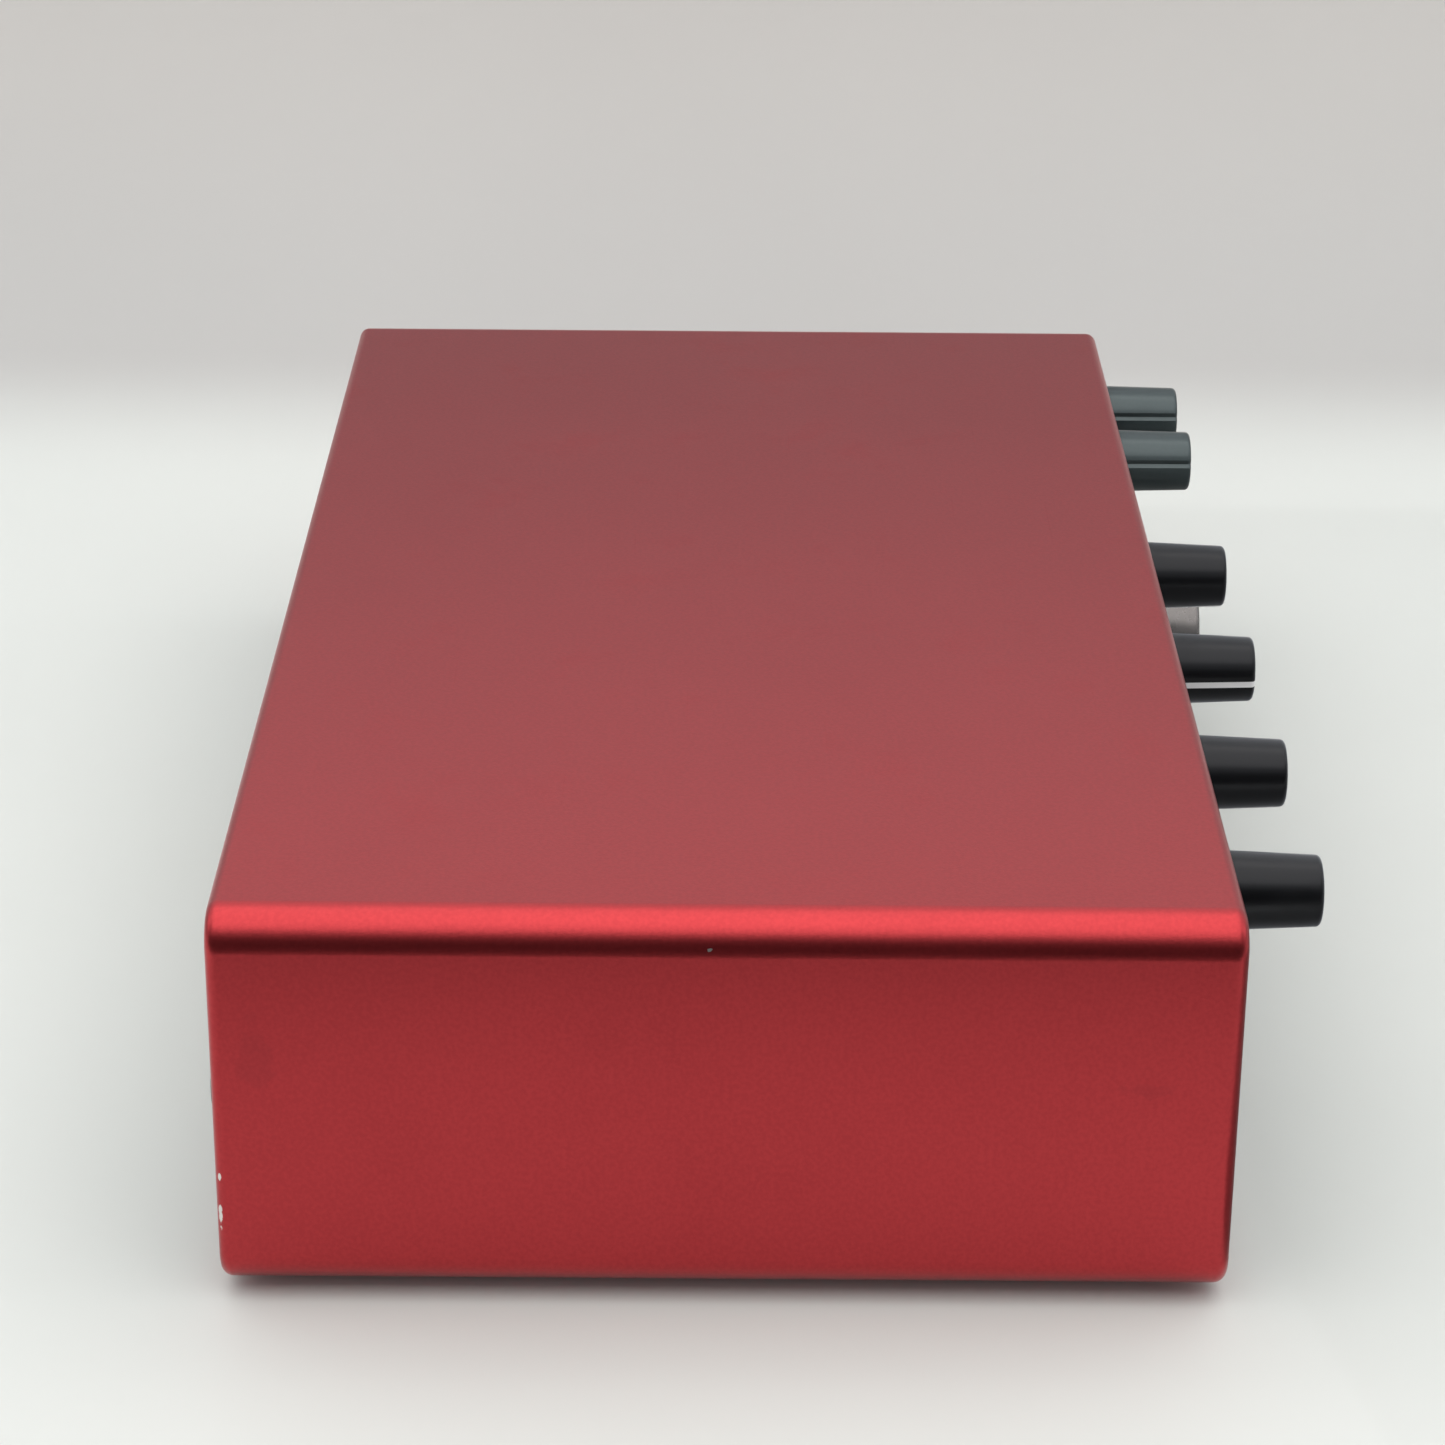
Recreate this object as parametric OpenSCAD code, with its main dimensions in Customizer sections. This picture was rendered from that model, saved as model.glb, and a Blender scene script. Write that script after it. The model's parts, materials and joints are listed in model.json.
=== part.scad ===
// Desktop audio interface: extruded aluminium sleeve with a control panel in its
// front mouth, a connector panel in its rear mouth and three circuit boards inside.
// Millimetres. +X right seen from the front, front faces -Y, +Z up.
// The box round the whole part is centred on X = 0 and Y = 0 and stands on Z = 0.

/* [Sleeve] */
// Width of the sleeve, left to right
case_w = 272; // [268:1:300]
// Depth of the sleeve, front to rear
case_d = 150; // [140:1:190]
// Height of the sleeve
case_h = 62; // [61:1:75]
// Outside radius of the sleeve's four long corners
corner_r = 6; // [5:0.5:8]
// Wall of the sleeve
wall = 3; // [2.4:0.1:3.4]
// Chamfer round the front mouth
front_chamfer = 1.5; // [0.5:0.1:1.8]
// Chamfer round the rear mouth
rear_chamfer = 0.9; // [0.3:0.1:1.8]
// Outside radius of the screw ports extruded in the four inner corners
port_r = 3.2; // [3:0.1:3.8]
// Distance of a screw port's centre from the two outer faces next to it
port_inset = 6; // [5.8:0.1:6.4]
// Radius of the screws that hold the rear panel, and of their holes
panel_screw_r = 1.4; // [1:0.1:1.6]
// Length of those screws under the head
panel_screw_l = 9; // [6:0.5:14]
// Radius of their heads
panel_head_r = 2.2; // [1.8:0.1:2.6]
// Height of their heads
panel_head_h = 1.1; // [0.8:0.1:1.6]
// Width of the arms of a screw's cross recess
cross_w = 0.6; // [0.4:0.05:0.8]
// Length of the arms of a screw's cross recess
cross_l = 2.6; // [2:0.1:2.8]
// Depth of a screw's cross recess
cross_d = 0.8; // [0.4:0.1:0.9]

/* [Panels] */
// How far the front panel's face sits behind the sleeve's front edge
front_recess = 1.2; // [0:0.1:3]
// Thickness of the front panel
front_panel_t = 2.5; // [2:0.1:3]
// How far the rear panel's face sits inside the sleeve's rear edge
rear_recess = 1.2; // [0:0.1:3]
// Thickness of the rear panel
rear_panel_t = 1.5; // [1:0.1:2]
// Gap all round between a panel and the sleeve's mouth
panel_gap = 0.2; // [0.1:0.05:0.4]
// Gap round a jack, a light pipe or a bush where it passes through a panel
hole_gap = 0.3; // [0.2:0.05:0.5]

/* [Feet] */
// Height of the rubber feet below the sleeve
foot_h = 2; // [1:0.1:4]
// Radius of a foot
foot_r = 7; // [5:0.5:9]
// Chamfer round the foot's lower edge
foot_chamfer = 0.5; // [0.2:0.1:0.9]
// Distance of a foot's centre from the sleeve's end faces
foot_inset_x = 20; // [14:1:26]
// Distance of a foot's centre from the sleeve's mouths
foot_inset_y = 18; // [14:1:26]

/* [Knobs] */
// How far the knobs' tips stand out past the sleeve's front edge
knob_reach = 15; // [12:0.5:18]
// Gap between a knob's skirt and the front panel
knob_gap = 0.5; // [0.3:0.1:1]
// Diameter of a gain knob at the panel
gain_base_d = 12.3; // [11:0.1:14]
// Diameter of a gain knob at its tip
gain_tip_d = 11; // [9.5:0.1:12]
// Diameter of a headphone knob at the panel
phones_base_d = 12; // [11:0.1:14]
// Diameter of a headphone knob at its tip
phones_tip_d = 11.3; // [9.5:0.1:12]
// Diameter of the monitor knob at the panel
monitor_base_d = 20.6; // [18:0.1:22]
// Diameter of the monitor knob at its tip
monitor_tip_d = 20; // [17:0.1:21.5]
// Chamfer round a knob's tip
knob_edge = 0.8; // [0.3:0.1:1.2]
// Width of a pointer line or groove
pointer_w = 1.1; // [0.8:0.1:1.6]
// Depth of a pointer line or groove
pointer_depth = 0.35; // [0.2:0.05:0.6]
// Depth of the shaft hole in a knob
knob_bore = 11; // [8:0.5:11.5]
// Distance of the upper row of controls below the sleeve's top
upper_row_drop = 11.6; // [11.4:0.1:12]
// Distance of the lower row of sockets above the sleeve's underside
lower_row_rise = 24; // [21:0.5:24.5]
// Distance of the fourth gain knob left of the monitor knob
monitor_gap = 36.7; // [34:0.1:38]
// Place of the leftmost gain knob, from the sleeve's left end
gain_first = 34.9; // [34:0.1:36]
// Distance between the two headphone knobs
phones_pitch = 26.2; // [25:0.1:28]
// Place of the rightmost headphone knob, from the sleeve's right end
phones_last = 22.1; // [21.9:0.1:24]
// Distance of the monitor knob left of the nearer headphone knob
monitor_back = 23.7; // [21:0.1:25]
// Rest angle of the pointers of gain knobs 1, 2 and 4, clockwise from twelve
gain_low_rest = -150; // [-150:1:150]
// Rest angle of the pointer of gain knob 3
gain_3_rest = -96.4; // [-150:0.1:150]
// Rest angle of the pointer of headphone knob 1
phones_1_rest = -76.5; // [-150:0.1:150]
// Rest angle of the pointer of headphone knob 2
phones_2_rest = -72.6; // [-150:0.1:150]
// Rest angle of the pointer of the monitor knob
monitor_rest = -150; // [-150:1:150]

/* [Potentiometers] */
// Radius of the knob shafts
shaft_r = 3; // [2.5:0.1:3.1]
// Radial play of a shaft in its bush
shaft_play = 0.05; // [0.02:0.01:0.09]
// Depth of the flat on a shaft
shaft_flat = 1.5; // [1:0.1:1.8]
// Outside radius of the bush round a shaft
bush_r = 3.8; // [3.6:0.1:4.2]
// Width of a potentiometer
pot_w = 9.6; // [9:0.1:9.8]
// Height of a potentiometer
pot_h = 11; // [10:0.1:11.6]
// Depth of a potentiometer without its bush
pot_d = 7.3; // [6.6:0.1:7.5]
// How deep a shaft reaches into its potentiometer
shaft_in_pot = 4.8; // [3:0.1:5.5]
// Gap left at each end of a shaft, in its potentiometer and in its knob
shaft_end_gap = 0.3; // [0.2:0.05:0.5]

/* [Boards] */
// Thickness of the circuit boards
board_t = 1.6; // [1.2:0.1:2]
// Distance of the control board behind the front panel
control_gap = 7.8; // [7.6:0.1:8.5]
// Height of the control board
control_board_h = 15.4; // [14:0.1:15.6]
// Margin at each end between a board and the sleeve's inner face
board_margin = 9; // [8:0.5:9.4]
// Height of the input board
input_board_h = 31; // [26:0.5:33]
// Height of the main board above the sleeve's floor inside
main_board_rise = 13; // [11:0.5:14]
// Gap between the main board and its neighbours
board_gap = 1.2; // [0.6:0.1:1.6]
// Radius of a standoff under the main board
standoff_r = 3; // [2.6:0.1:3.5]
// Distance of the standoffs from the sleeve's end faces
standoff_inset = 44; // [40:1:50]
// Distance between the front and rear standoffs
standoff_pitch = 66; // [50:1:72]
// Radius of the screws that come up through the floor
floor_screw_r = 1.5; // [1.2:0.1:1.7]
// Radius of their countersunk heads
floor_head_r = 2.9; // [2.5:0.1:3.1]
// How far they reach into the standoffs
floor_screw_grip = 6; // [4:0.5:8]
// Distance of the rear standoffs from the main board's rear edge
standoff_margin = 8; // [6:0.5:12]
// Radius of the stakes that hold the control board
stake_r = 1.4; // [1:0.1:1.6]
// Distance of the stakes above and below the upper row
stake_off = 5.2; // [5:0.1:5.6]
// Width of the shoulder round a stake, which the control board rests on
stake_shoulder = 0.7; // [0.5:0.1:0.9]
// Length of a stake past the control board
stake_head = 0.6; // [0.4:0.1:1]
// Distance of the stakes from the control board's ends
stake_inset = 2.6; // [2.5:0.1:2.8]

/* [Jacks] */
// Radius of the hole for a 6.35 mm plug
plug_r = 3.3; // [3.25:0.01:3.5]
// Depth of the jacks behind their panel
jack_depth = 32; // [31:0.5:36]
// Depth of the plug hole from the jack's mouth
plug_depth = 31; // [29:0.5:33]
// Radius of the threaded neck of a 6.35 mm jack
neck_r = 4.5; // [4.2:0.1:4.8]
// How far a jack's neck stands out of its panel
neck_out = 2.6; // [2.4:0.1:3.4]
// Width of a jack nut across its flats
nut_flats = 12; // [11:0.1:12.4]
// Thickness of a jack nut
nut_t = 2; // [1.5:0.1:2.2]
// Width and height of a 6.35 mm jack's housing
jack_w = 13; // [12:0.1:14]
// Width and height of a combination jack's housing
combo_w = 25; // [24:0.1:27]
// Radius of a combination jack's face
combo_r = 11.8; // [11:0.1:12]
// How far a combination jack's face stands out of the panel
combo_out = 0.4; // [0.2:0.1:0.8]
// Inner radius of the round slot for the plug's shell
combo_core_r = 7.6; // [7.4:0.1:7.9]
// Outer radius of the round slot for the plug's shell
combo_shell_r = 9.6; // [9.4:0.1:9.8]
// Depth of that slot and of the contact holes
combo_slot_d = 14; // [12:0.5:18]
// Radius of a contact hole
combo_pin_r = 1.3; // [1.2:0.05:1.4]
// Distance of a contact hole from the centre
combo_pin_at = 5.5; // [5.3:0.1:5.6]

/* [Buttons] */
// Width of a push button
button_w = 6; // [5:0.1:6.5]
// Height of a push button
button_h = 3.6; // [3:0.1:4.2]
// How far a button stands out of the panel
button_out = 1.2; // [1:0.1:1.5]
// Travel of a button
button_travel = 0.8; // [0.5:0.1:0.9]
// Gap all round a button in its slot
button_gap = 0.3; // [0.2:0.05:0.4]
// Corner radius of a button
button_r = 0.8; // [0.4:0.1:1.4]
// Lip round the button behind the panel
button_lip = 1.1; // [0.8:0.1:1.3]
// Thickness of that lip
button_lip_t = 0.8; // [0.6:0.1:1]
// Gap between the lip and the panel at rest
button_rest_gap = 0.4; // [0.3:0.05:0.6]
// Gap between the plunger and its switch with the button pressed
button_end_gap = 0.3; // [0.2:0.05:0.4]
// Radius of the plunger behind a button
plunger_r = 1.2; // [1:0.1:1.5]
// Width of a button's switch
tact_w = 4.5; // [4:0.1:5]
// Depth of a button's switch
tact_d = 2.8; // [2.4:0.1:3]
// How much of that depth is the switch's own plunger
tact_tip = 0.8; // [0.5:0.1:1]
// Radius of the switch's own plunger
tact_tip_r = 1; // [0.8:0.1:1.2]
// Radius of the light pipes
light_r = 1.25; // [1:0.05:1.5]
// Gap all round a light pipe in the panel
light_gap = 0.05; // [0.03:0.01:0.1]
// Place of a channel's two lights left of its gain knob
light_left = 11; // [9.5:0.1:11.2]
// Distance of a channel's lights above and below the row
light_off = 3.5; // [3:0.1:4]

/* [Rear connectors] */
// Distance of the connectors' row above the main board
rear_row_rise = 9.4; // [9:0.1:9.6]
// Distance of the outermost connectors from the sleeve's inner faces
rear_margin = 6; // [5:0.5:8]
// Outside radius of a coaxial barrel
rca_r = 4.15; // [4:0.01:4.2]
// Inside radius of a coaxial barrel
rca_in_r = 3.5; // [3.3:0.1:3.6]
// Length of a coaxial barrel out of the panel
rca_len = 8.5; // [8:0.1:10]
// Radius of the plastic shoulder round a coaxial barrel
rca_shoulder_r = 5.5; // [5:0.1:6]
// How far that shoulder stands out of the panel
rca_shoulder_out = 0.3; // [0.2:0.1:0.6]
// How far the barrel stands past the plastic in it
rca_lip = 0.8; // [0.5:0.1:1.2]
// Radius of the coaxial contact hole
rca_pin_r = 1.6; // [1.5:0.1:1.8]
// Depth of the coaxial contact hole
rca_pin_deep = 9; // [8:0.5:14]
// Depth of the sockets' housings behind the rear panel
socket_depth = 12; // [11:0.5:14]
// Distance between the two coaxial sockets
rca_pitch = 14; // [13.5:0.1:14.5]
// Radius of a five-pin socket's face
din_r = 9; // [8.6:0.1:9.2]
// How far a five-pin socket's face stands out of the panel
din_out = 0.5; // [0.3:0.1:0.8]
// Outer radius of the round slot in that face
din_slot_r = 7.4; // [7.2:0.1:7.6]
// Inner radius of the round slot
din_core_r = 6.6; // [6.4:0.1:6.8]
// Depth of the round slot and of the contact holes
din_deep = 8; // [7:0.5:10]
// Distance of the five contact holes from the socket's centre
din_pin_at = 3.75; // [3.6:0.05:3.9]
// Radius of a five-pin contact hole
din_pin_r = 0.8; // [0.7:0.05:0.9]
// Width of a five-pin socket's housing
din_w = 20; // [19:0.1:21]
// Width and height of the optical socket
optical_w = 10; // [9.6:0.1:10.5]
// Width and height of the optical socket's mouth
optical_mouth = 7; // [6.5:0.1:7.4]
// Depth of the optical socket's mouth
optical_deep = 9; // [8:0.1:10]
// Depth of the whole optical socket
optical_body = 14; // [13.5:0.5:16]
// Radius of the lens hole at the bottom of the mouth
optical_lens_r = 1.2; // [1:0.1:1.5]
// How far the optical socket stands out of the panel
optical_out = 0.5; // [0.3:0.1:0.8]
// Width of the data socket's shell
usb_w = 8.94; // [8.8:0.01:9.1]
// Height of the data socket's shell
usb_h = 3.26; // [3.1:0.01:3.4]
// Wall of the data socket's shell
usb_wall = 0.3; // [0.25:0.01:0.35]
// Depth of the data socket
usb_body = 8; // [7.6:0.1:9]
// Thickness of the data socket's back wall
usb_back = 1; // [0.6:0.1:1.4]
// Width of the data socket's tongue
usb_tongue_w = 6.7; // [6.5:0.1:6.9]
// Thickness of the data socket's tongue
usb_tongue_t = 0.7; // [0.6:0.05:0.8]
// How far the tongue stops behind the shell's mouth
usb_tongue_in = 0.6; // [0.4:0.1:1]
// How far the data socket stands out of the panel
usb_out = 0.2; // [0.1:0.1:0.4]
// Radius of the power inlet's mouth
dc_r = 3.15; // [3:0.05:3.4]
// Depth of the power inlet's mouth
dc_deep = 9.5; // [9:0.1:11]
// Radius of the power inlet's centre pin
dc_pin_r = 1; // [0.8:0.05:1.2]
// How far the pin stops behind the mouth
dc_pin_in = 0.8; // [0.4:0.1:1.2]
// How far the power inlet's face stands out of the panel
dc_out = 0.4; // [0.2:0.1:0.6]
// Radius of the power inlet's face
dc_face_r = 4.8; // [4.5:0.1:5]
// Width of the rocker
rocker_w = 9; // [8:0.1:9.5]
// Height of the rocker
rocker_h = 16; // [14:0.1:16.5]
// Gap all round the rocker in its frame
rocker_gap = 0.5; // [0.4:0.05:0.6]
// Wall of the rocker's frame
rocker_wall = 1.5; // [1.2:0.1:1.7]
// Flange of the rocker's frame round its opening
rocker_flange = 1.1; // [0.9:0.1:1.2]
// Thickness of that flange
rocker_flange_t = 1.2; // [0.8:0.1:1.5]
// Depth of the frame's hollow behind the panel's face
rocker_deep = 9; // [8.5:0.1:10]
// Distance of the pivot inside the panel's face
pivot_in = 2.5; // [2.2:0.1:3]
// Height of the rocker's ends above its pivot
rocker_end = 3.9; // [3.6:0.1:4.2]
// Height of the rocker's middle above its pivot
rocker_mid = 3; // [2.6:0.1:3.4]
// Depth of the rocker below its pivot
rocker_foot = 3; // [2.5:0.1:3.4]
// Tilt of the rocker to each side
rocker_tilt = 8; // [5:1:10]
// Radius of the rocker's pivot stubs
pivot_r = 1.2; // [1:0.1:1.4]
// How far a stub reaches into the frame's wall
pivot_grip = 0.9; // [0.6:0.1:1]
// Gap between the rocker's frame and the main board
rocker_rise = 0.5; // [0.3:0.1:1]
// Width of the lock slot
lock_w = 7; // [6.8:0.1:7.2]
// Height of the lock slot
lock_h = 3; // [2.9:0.1:3.2]
// Distance of the lock slot above the connectors' row
lock_rise = 12; // [10:0.5:14]

/* [Board parts] */
// Height of the chips
chip_h = 1.5; // [1:0.1:2]
// Width and depth of the main processor
processor_w = 17; // [14:0.5:20]
// Width and depth of the converter chip
converter_w = 12; // [9:0.5:14]
// Width of a preamplifier chip
preamp_w = 10; // [8:0.5:10.5]
// Depth of a preamplifier chip
preamp_d = 6; // [4:0.5:7]
// Radius of the supply capacitors
supply_cap_r = 5; // [4:0.1:5.5]
// Height of the supply capacitors
supply_cap_h = 13; // [10:0.5:16]
// Radius of the coupling capacitors
coupling_cap_r = 3.15; // [2.5:0.05:3.6]
// Height of the coupling capacitors
coupling_cap_h = 7; // [5:0.5:11]
// Width of the ribbon cable
ribbon_w = 26; // [20:1:34]
// Thickness of the ribbon cable
ribbon_t = 0.9; // [0.7:0.1:1.2]
// Distance of the ribbon's start below the input board's top
ribbon_drop = 3; // [2:0.5:6]

/* [Hidden] */
$fn = 48;
e = 0.01;
front_reach = knob_reach;
rear_reach = rca_len - rear_recess;
y_shift = (front_reach - rear_reach) / 2;
y_front = y_shift - case_d / 2;
y_rear = y_shift + case_d / 2;
z_under = foot_h;
z_top = foot_h + case_h;
z_floor = z_under + wall;
z_mid = z_under + case_h / 2;
inner_w = case_w - 2 * wall;
inner_h = case_h - 2 * wall;
inner_r = corner_r - wall;
fp_face = y_front + front_recess;
fp_back = fp_face + front_panel_t;
rp_face = y_rear - rear_recess;
rp_back = rp_face - rear_panel_t;
port_x = case_w / 2 - port_inset;
port_zs = [z_under + port_inset, z_top - port_inset];
z_upper = z_top - upper_row_drop;
z_lower = z_under + lower_row_rise;
phones_x = [for (i = [0 : 1]) case_w / 2 - phones_last - (1 - i) * phones_pitch];
monitor_x = phones_x[0] - monitor_back;
gain_x0 = gain_first - case_w / 2;
gain_pitch = (monitor_x - monitor_gap - gain_x0) / 3;
gain_x = [for (i = [0 : 3]) gain_x0 + i * gain_pitch];
button_x = [for (x = gain_x) x + gain_pitch / 2];
all_button_x = concat(button_x, [monitor_x]);
knob_y = fp_face - knob_gap;
knob_len = knob_reach + front_recess - knob_gap;
control_y = fp_back + control_gap;
input_y = fp_back + jack_depth;
board_half_w = inner_w / 2 - board_margin;
stake_x = board_half_w - stake_inset;
main_y0 = input_y + board_t + board_gap;
main_y1 = rp_back - board_gap;
z_main = z_floor + main_board_rise;
z_main_top = z_main + board_t;
z_rear = z_main_top + rear_row_rise;
standoff_x = case_w / 2 - standoff_inset;
standoff_ys = [main_y1 - standoff_margin - standoff_pitch, main_y1 - standoff_margin];
light_xz = concat(
    [for (x = gain_x) [x - light_left, z_upper + light_off]],
    [for (x = gain_x) [x - light_left, z_upper - light_off]],
    [[(phones_x[0] + phones_x[1]) / 2, z_upper + light_off]],
    [[(phones_x[0] + phones_x[1]) / 2, z_upper - light_off]]);

// The rear connectors stand in one row with equal gaps, from the line inputs at -X
function sum_to(v, n) = n <= 0 ? 0 : v[n - 1] + sum_to(v, n - 1);
frame_in_w = rocker_w + 2 * rocker_gap;
frame_in_h = rocker_h + 2 * rocker_gap;
frame_w = frame_in_w + 2 * rocker_wall;
frame_h = frame_in_h + 2 * rocker_wall;
rear_widths = concat([for (i = [0 : 7]) jack_w], [2 * rca_pitch, din_w, din_w, optical_w,
    usb_w, 2 * dc_face_r, frame_w + 2 * rocker_flange]);
rear_count = len(rear_widths);
rear_space = (inner_w - 2 * rear_margin - sum_to(rear_widths, rear_count))
    / (rear_count - 1);
function rear_x(i) = rear_margin - inner_w / 2 + sum_to(rear_widths, i)
    + i * rear_space + rear_widths[i] / 2;
line_in_x = [for (i = [0 : 3]) rear_x(i)];
line_out_x = [for (i = [4 : 7]) rear_x(i)];
rca_at = rear_x(8);
rca_x = [rca_at - rca_pitch / 2, rca_at + rca_pitch / 2];
midi_in_at = rear_x(9);
midi_out_at = rear_x(10);
optical_at = rear_x(11);
usb_at = rear_x(12);
dc_at = rear_x(13);
rocker_at = rear_x(14);
rocker_z = z_main_top + rocker_rise + frame_h / 2;
rocker_y = rp_face - pivot_in;
usb_z = z_main_top + usb_h / 2;
lock_x = (dc_at + usb_at) / 2;
lock_z = z_rear + lock_rise;
board_mid_y = (main_y0 + rp_back - jack_depth) / 2;
ribbon_r = z_lower + input_board_h / 2 - ribbon_drop - z_main_top;

// A profile drawn in X and Z, filled from y0 to y1
module prism(y0, y1) {
    translate([0, y1, 0]) rotate([90, 0, 0]) linear_extrude(y1 - y0) children();
}

// A round bar along Y
module rod(x, z, y0, y1, r) {
    translate([x, y1, z]) rotate([90, 0, 0]) cylinder(r = r, h = y1 - y0);
}

// A rectangle with round corners about the origin
module round_rect(w, h, r) {
    square([w - 2 * r, h], center = true);
    square([w, h - 2 * r], center = true);
    for (x = [-1, 1], z = [-1, 1])
        translate([x * (w / 2 - r), z * (h / 2 - r)]) circle(r);
}

// A box given by its middle in X and its limits in Y and Z
module slab(x, w, y0, y1, z0, z1) {
    translate([x - w / 2, y0, z0]) cube([w, y1 - y0, z1 - z0]);
}

// The sleeve's outside: two chamfered slabs and four turned corner bars
module sleeve_outside() {
    cf = front_chamfer;
    cr = rear_chamfer;
    translate([corner_r - case_w / 2, 0, z_under])
        rotate([90, 0, 90])
            linear_extrude(case_w - 2 * corner_r)
                polygon([[y_front, cf], [y_front + cf, 0], [y_rear - cr, 0],
                    [y_rear, cr], [y_rear, case_h - cr], [y_rear - cr, case_h],
                    [y_front + cf, case_h], [y_front, case_h - cf]]);
    translate([0, 0, z_under + corner_r])
        linear_extrude(case_h - 2 * corner_r)
            polygon([[cf - case_w / 2, y_front], [case_w / 2 - cf, y_front],
                [case_w / 2, y_front + cf], [case_w / 2, y_rear - cr],
                [case_w / 2 - cr, y_rear], [cr - case_w / 2, y_rear],
                [-case_w / 2, y_rear - cr], [-case_w / 2, y_front + cf]]);
    for (x = [-1, 1], z = [z_under + corner_r, z_top - corner_r])
        translate([x * (case_w / 2 - corner_r), y_rear, z])
            rotate([90, 0, 0])
                rotate_extrude()
                    polygon([[0, 0], [corner_r - cr, 0], [corner_r, cr],
                        [corner_r, case_d - cf], [corner_r - cf, case_d], [0, case_d]]);
}

module sleeve() {
    color([0.6, 0.16, 0.17]) difference() {
        union() {
            difference() {
                sleeve_outside();
                translate([0, 0, z_mid])
                    prism(y_front - 1, y_rear + 1) round_rect(inner_w, inner_h, inner_r);
            }
            for (x = [-port_x, port_x], z = port_zs)
                rod(x, z, fp_back, rp_back, port_r);
        }
        for (x = [-port_x, port_x], z = port_zs)
            rod(x, z, fp_back - 1, rp_back + 1, panel_screw_r);
        for (x = [-standoff_x, standoff_x], y = standoff_ys)
            translate([x, y, z_under]) {
                translate([0, 0, -1]) cylinder(r = floor_screw_r, h = wall + 2);
                cylinder(r1 = floor_head_r, r2 = floor_screw_r,
                    h = floor_head_r - floor_screw_r);
            }
    }
}

module foot(x, y) {
    color([0.1, 0.1, 0.1]) translate([x, y, 0]) {
        cylinder(r1 = foot_r - foot_chamfer, r2 = foot_r, h = foot_chamfer);
        translate([0, 0, foot_chamfer]) cylinder(r = foot_r, h = foot_h - foot_chamfer);
    }
}

foot_x = case_w / 2 - foot_inset_x;
module foot_front_left() { foot(-foot_x, y_front + foot_inset_y); }
module foot_front_right() { foot(foot_x, y_front + foot_inset_y); }
module foot_rear_left() { foot(-foot_x, y_rear - foot_inset_y); }
module foot_rear_right() { foot(foot_x, y_rear - foot_inset_y); }

// The cross recess of a screw, cut upwards from Z = 0
module cross_recess() {
    for (a = [0, 90]) rotate([0, 0, a])
        translate([-cross_l / 2, -cross_w / 2, -e]) cube([cross_l, cross_w, cross_d + e]);
}

// Countersunk screws through the floor into the main board's standoffs
module floor_screws() {
    color([0.2, 0.2, 0.21])
        for (x = [-standoff_x, standoff_x], y = standoff_ys)
            translate([x, y, z_under]) difference() {
                union() {
                    cylinder(r1 = floor_head_r, r2 = floor_screw_r,
                        h = floor_head_r - floor_screw_r);
                    cylinder(r = floor_screw_r, h = wall + floor_screw_grip);
                }
                cross_recess();
            }
}

module rear_screws() {
    color([0.2, 0.2, 0.21])
        for (x = [-port_x, port_x], z = port_zs)
            difference() {
                union() {
                    rod(x, z, rp_face - panel_screw_l, rp_face, panel_screw_r);
                    rod(x, z, rp_face, rp_face + panel_head_h, panel_head_r);
                }
                translate([x, rp_face + panel_head_h, z]) rotate([90, 0, 0]) cross_recess();
            }
}

module front_panel() {
    color([0.07, 0.07, 0.08]) difference() {
        union() {
            translate([0, 0, z_mid])
                prism(fp_face, fp_back)
                    round_rect(inner_w - 2 * panel_gap, inner_h - 2 * panel_gap,
                        inner_r - panel_gap);
            for (x = [-stake_x, stake_x], s = [-stake_off, stake_off]) {
                rod(x, z_upper + s, fp_back - e, control_y, stake_r + stake_shoulder);
                rod(x, z_upper + s, fp_back, control_y + board_t + stake_head, stake_r);
            }
        }
        for (x = gain_x) {
            rod(x, z_upper, fp_face - 1, fp_back + 1, bush_r + hole_gap);
            rod(x, z_lower, fp_face - 1, fp_back + 1, combo_r + hole_gap);
        }
        for (x = phones_x) {
            rod(x, z_upper, fp_face - 1, fp_back + 1, bush_r + hole_gap);
            rod(x, z_lower, fp_face - 1, fp_back + 1, neck_r + hole_gap);
        }
        rod(monitor_x, z_lower, fp_face - 1, fp_back + 1, bush_r + hole_gap);
        for (x = all_button_x)
            translate([x, 0, z_upper]) prism(fp_face - 1, fp_back + 1)
                square([button_w + 2 * button_gap, button_h + 2 * button_gap], center = true);
        for (p = light_xz)
            rod(p[0], p[1], fp_face - 1, fp_back + 1, light_r + light_gap);
    }
}

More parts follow.
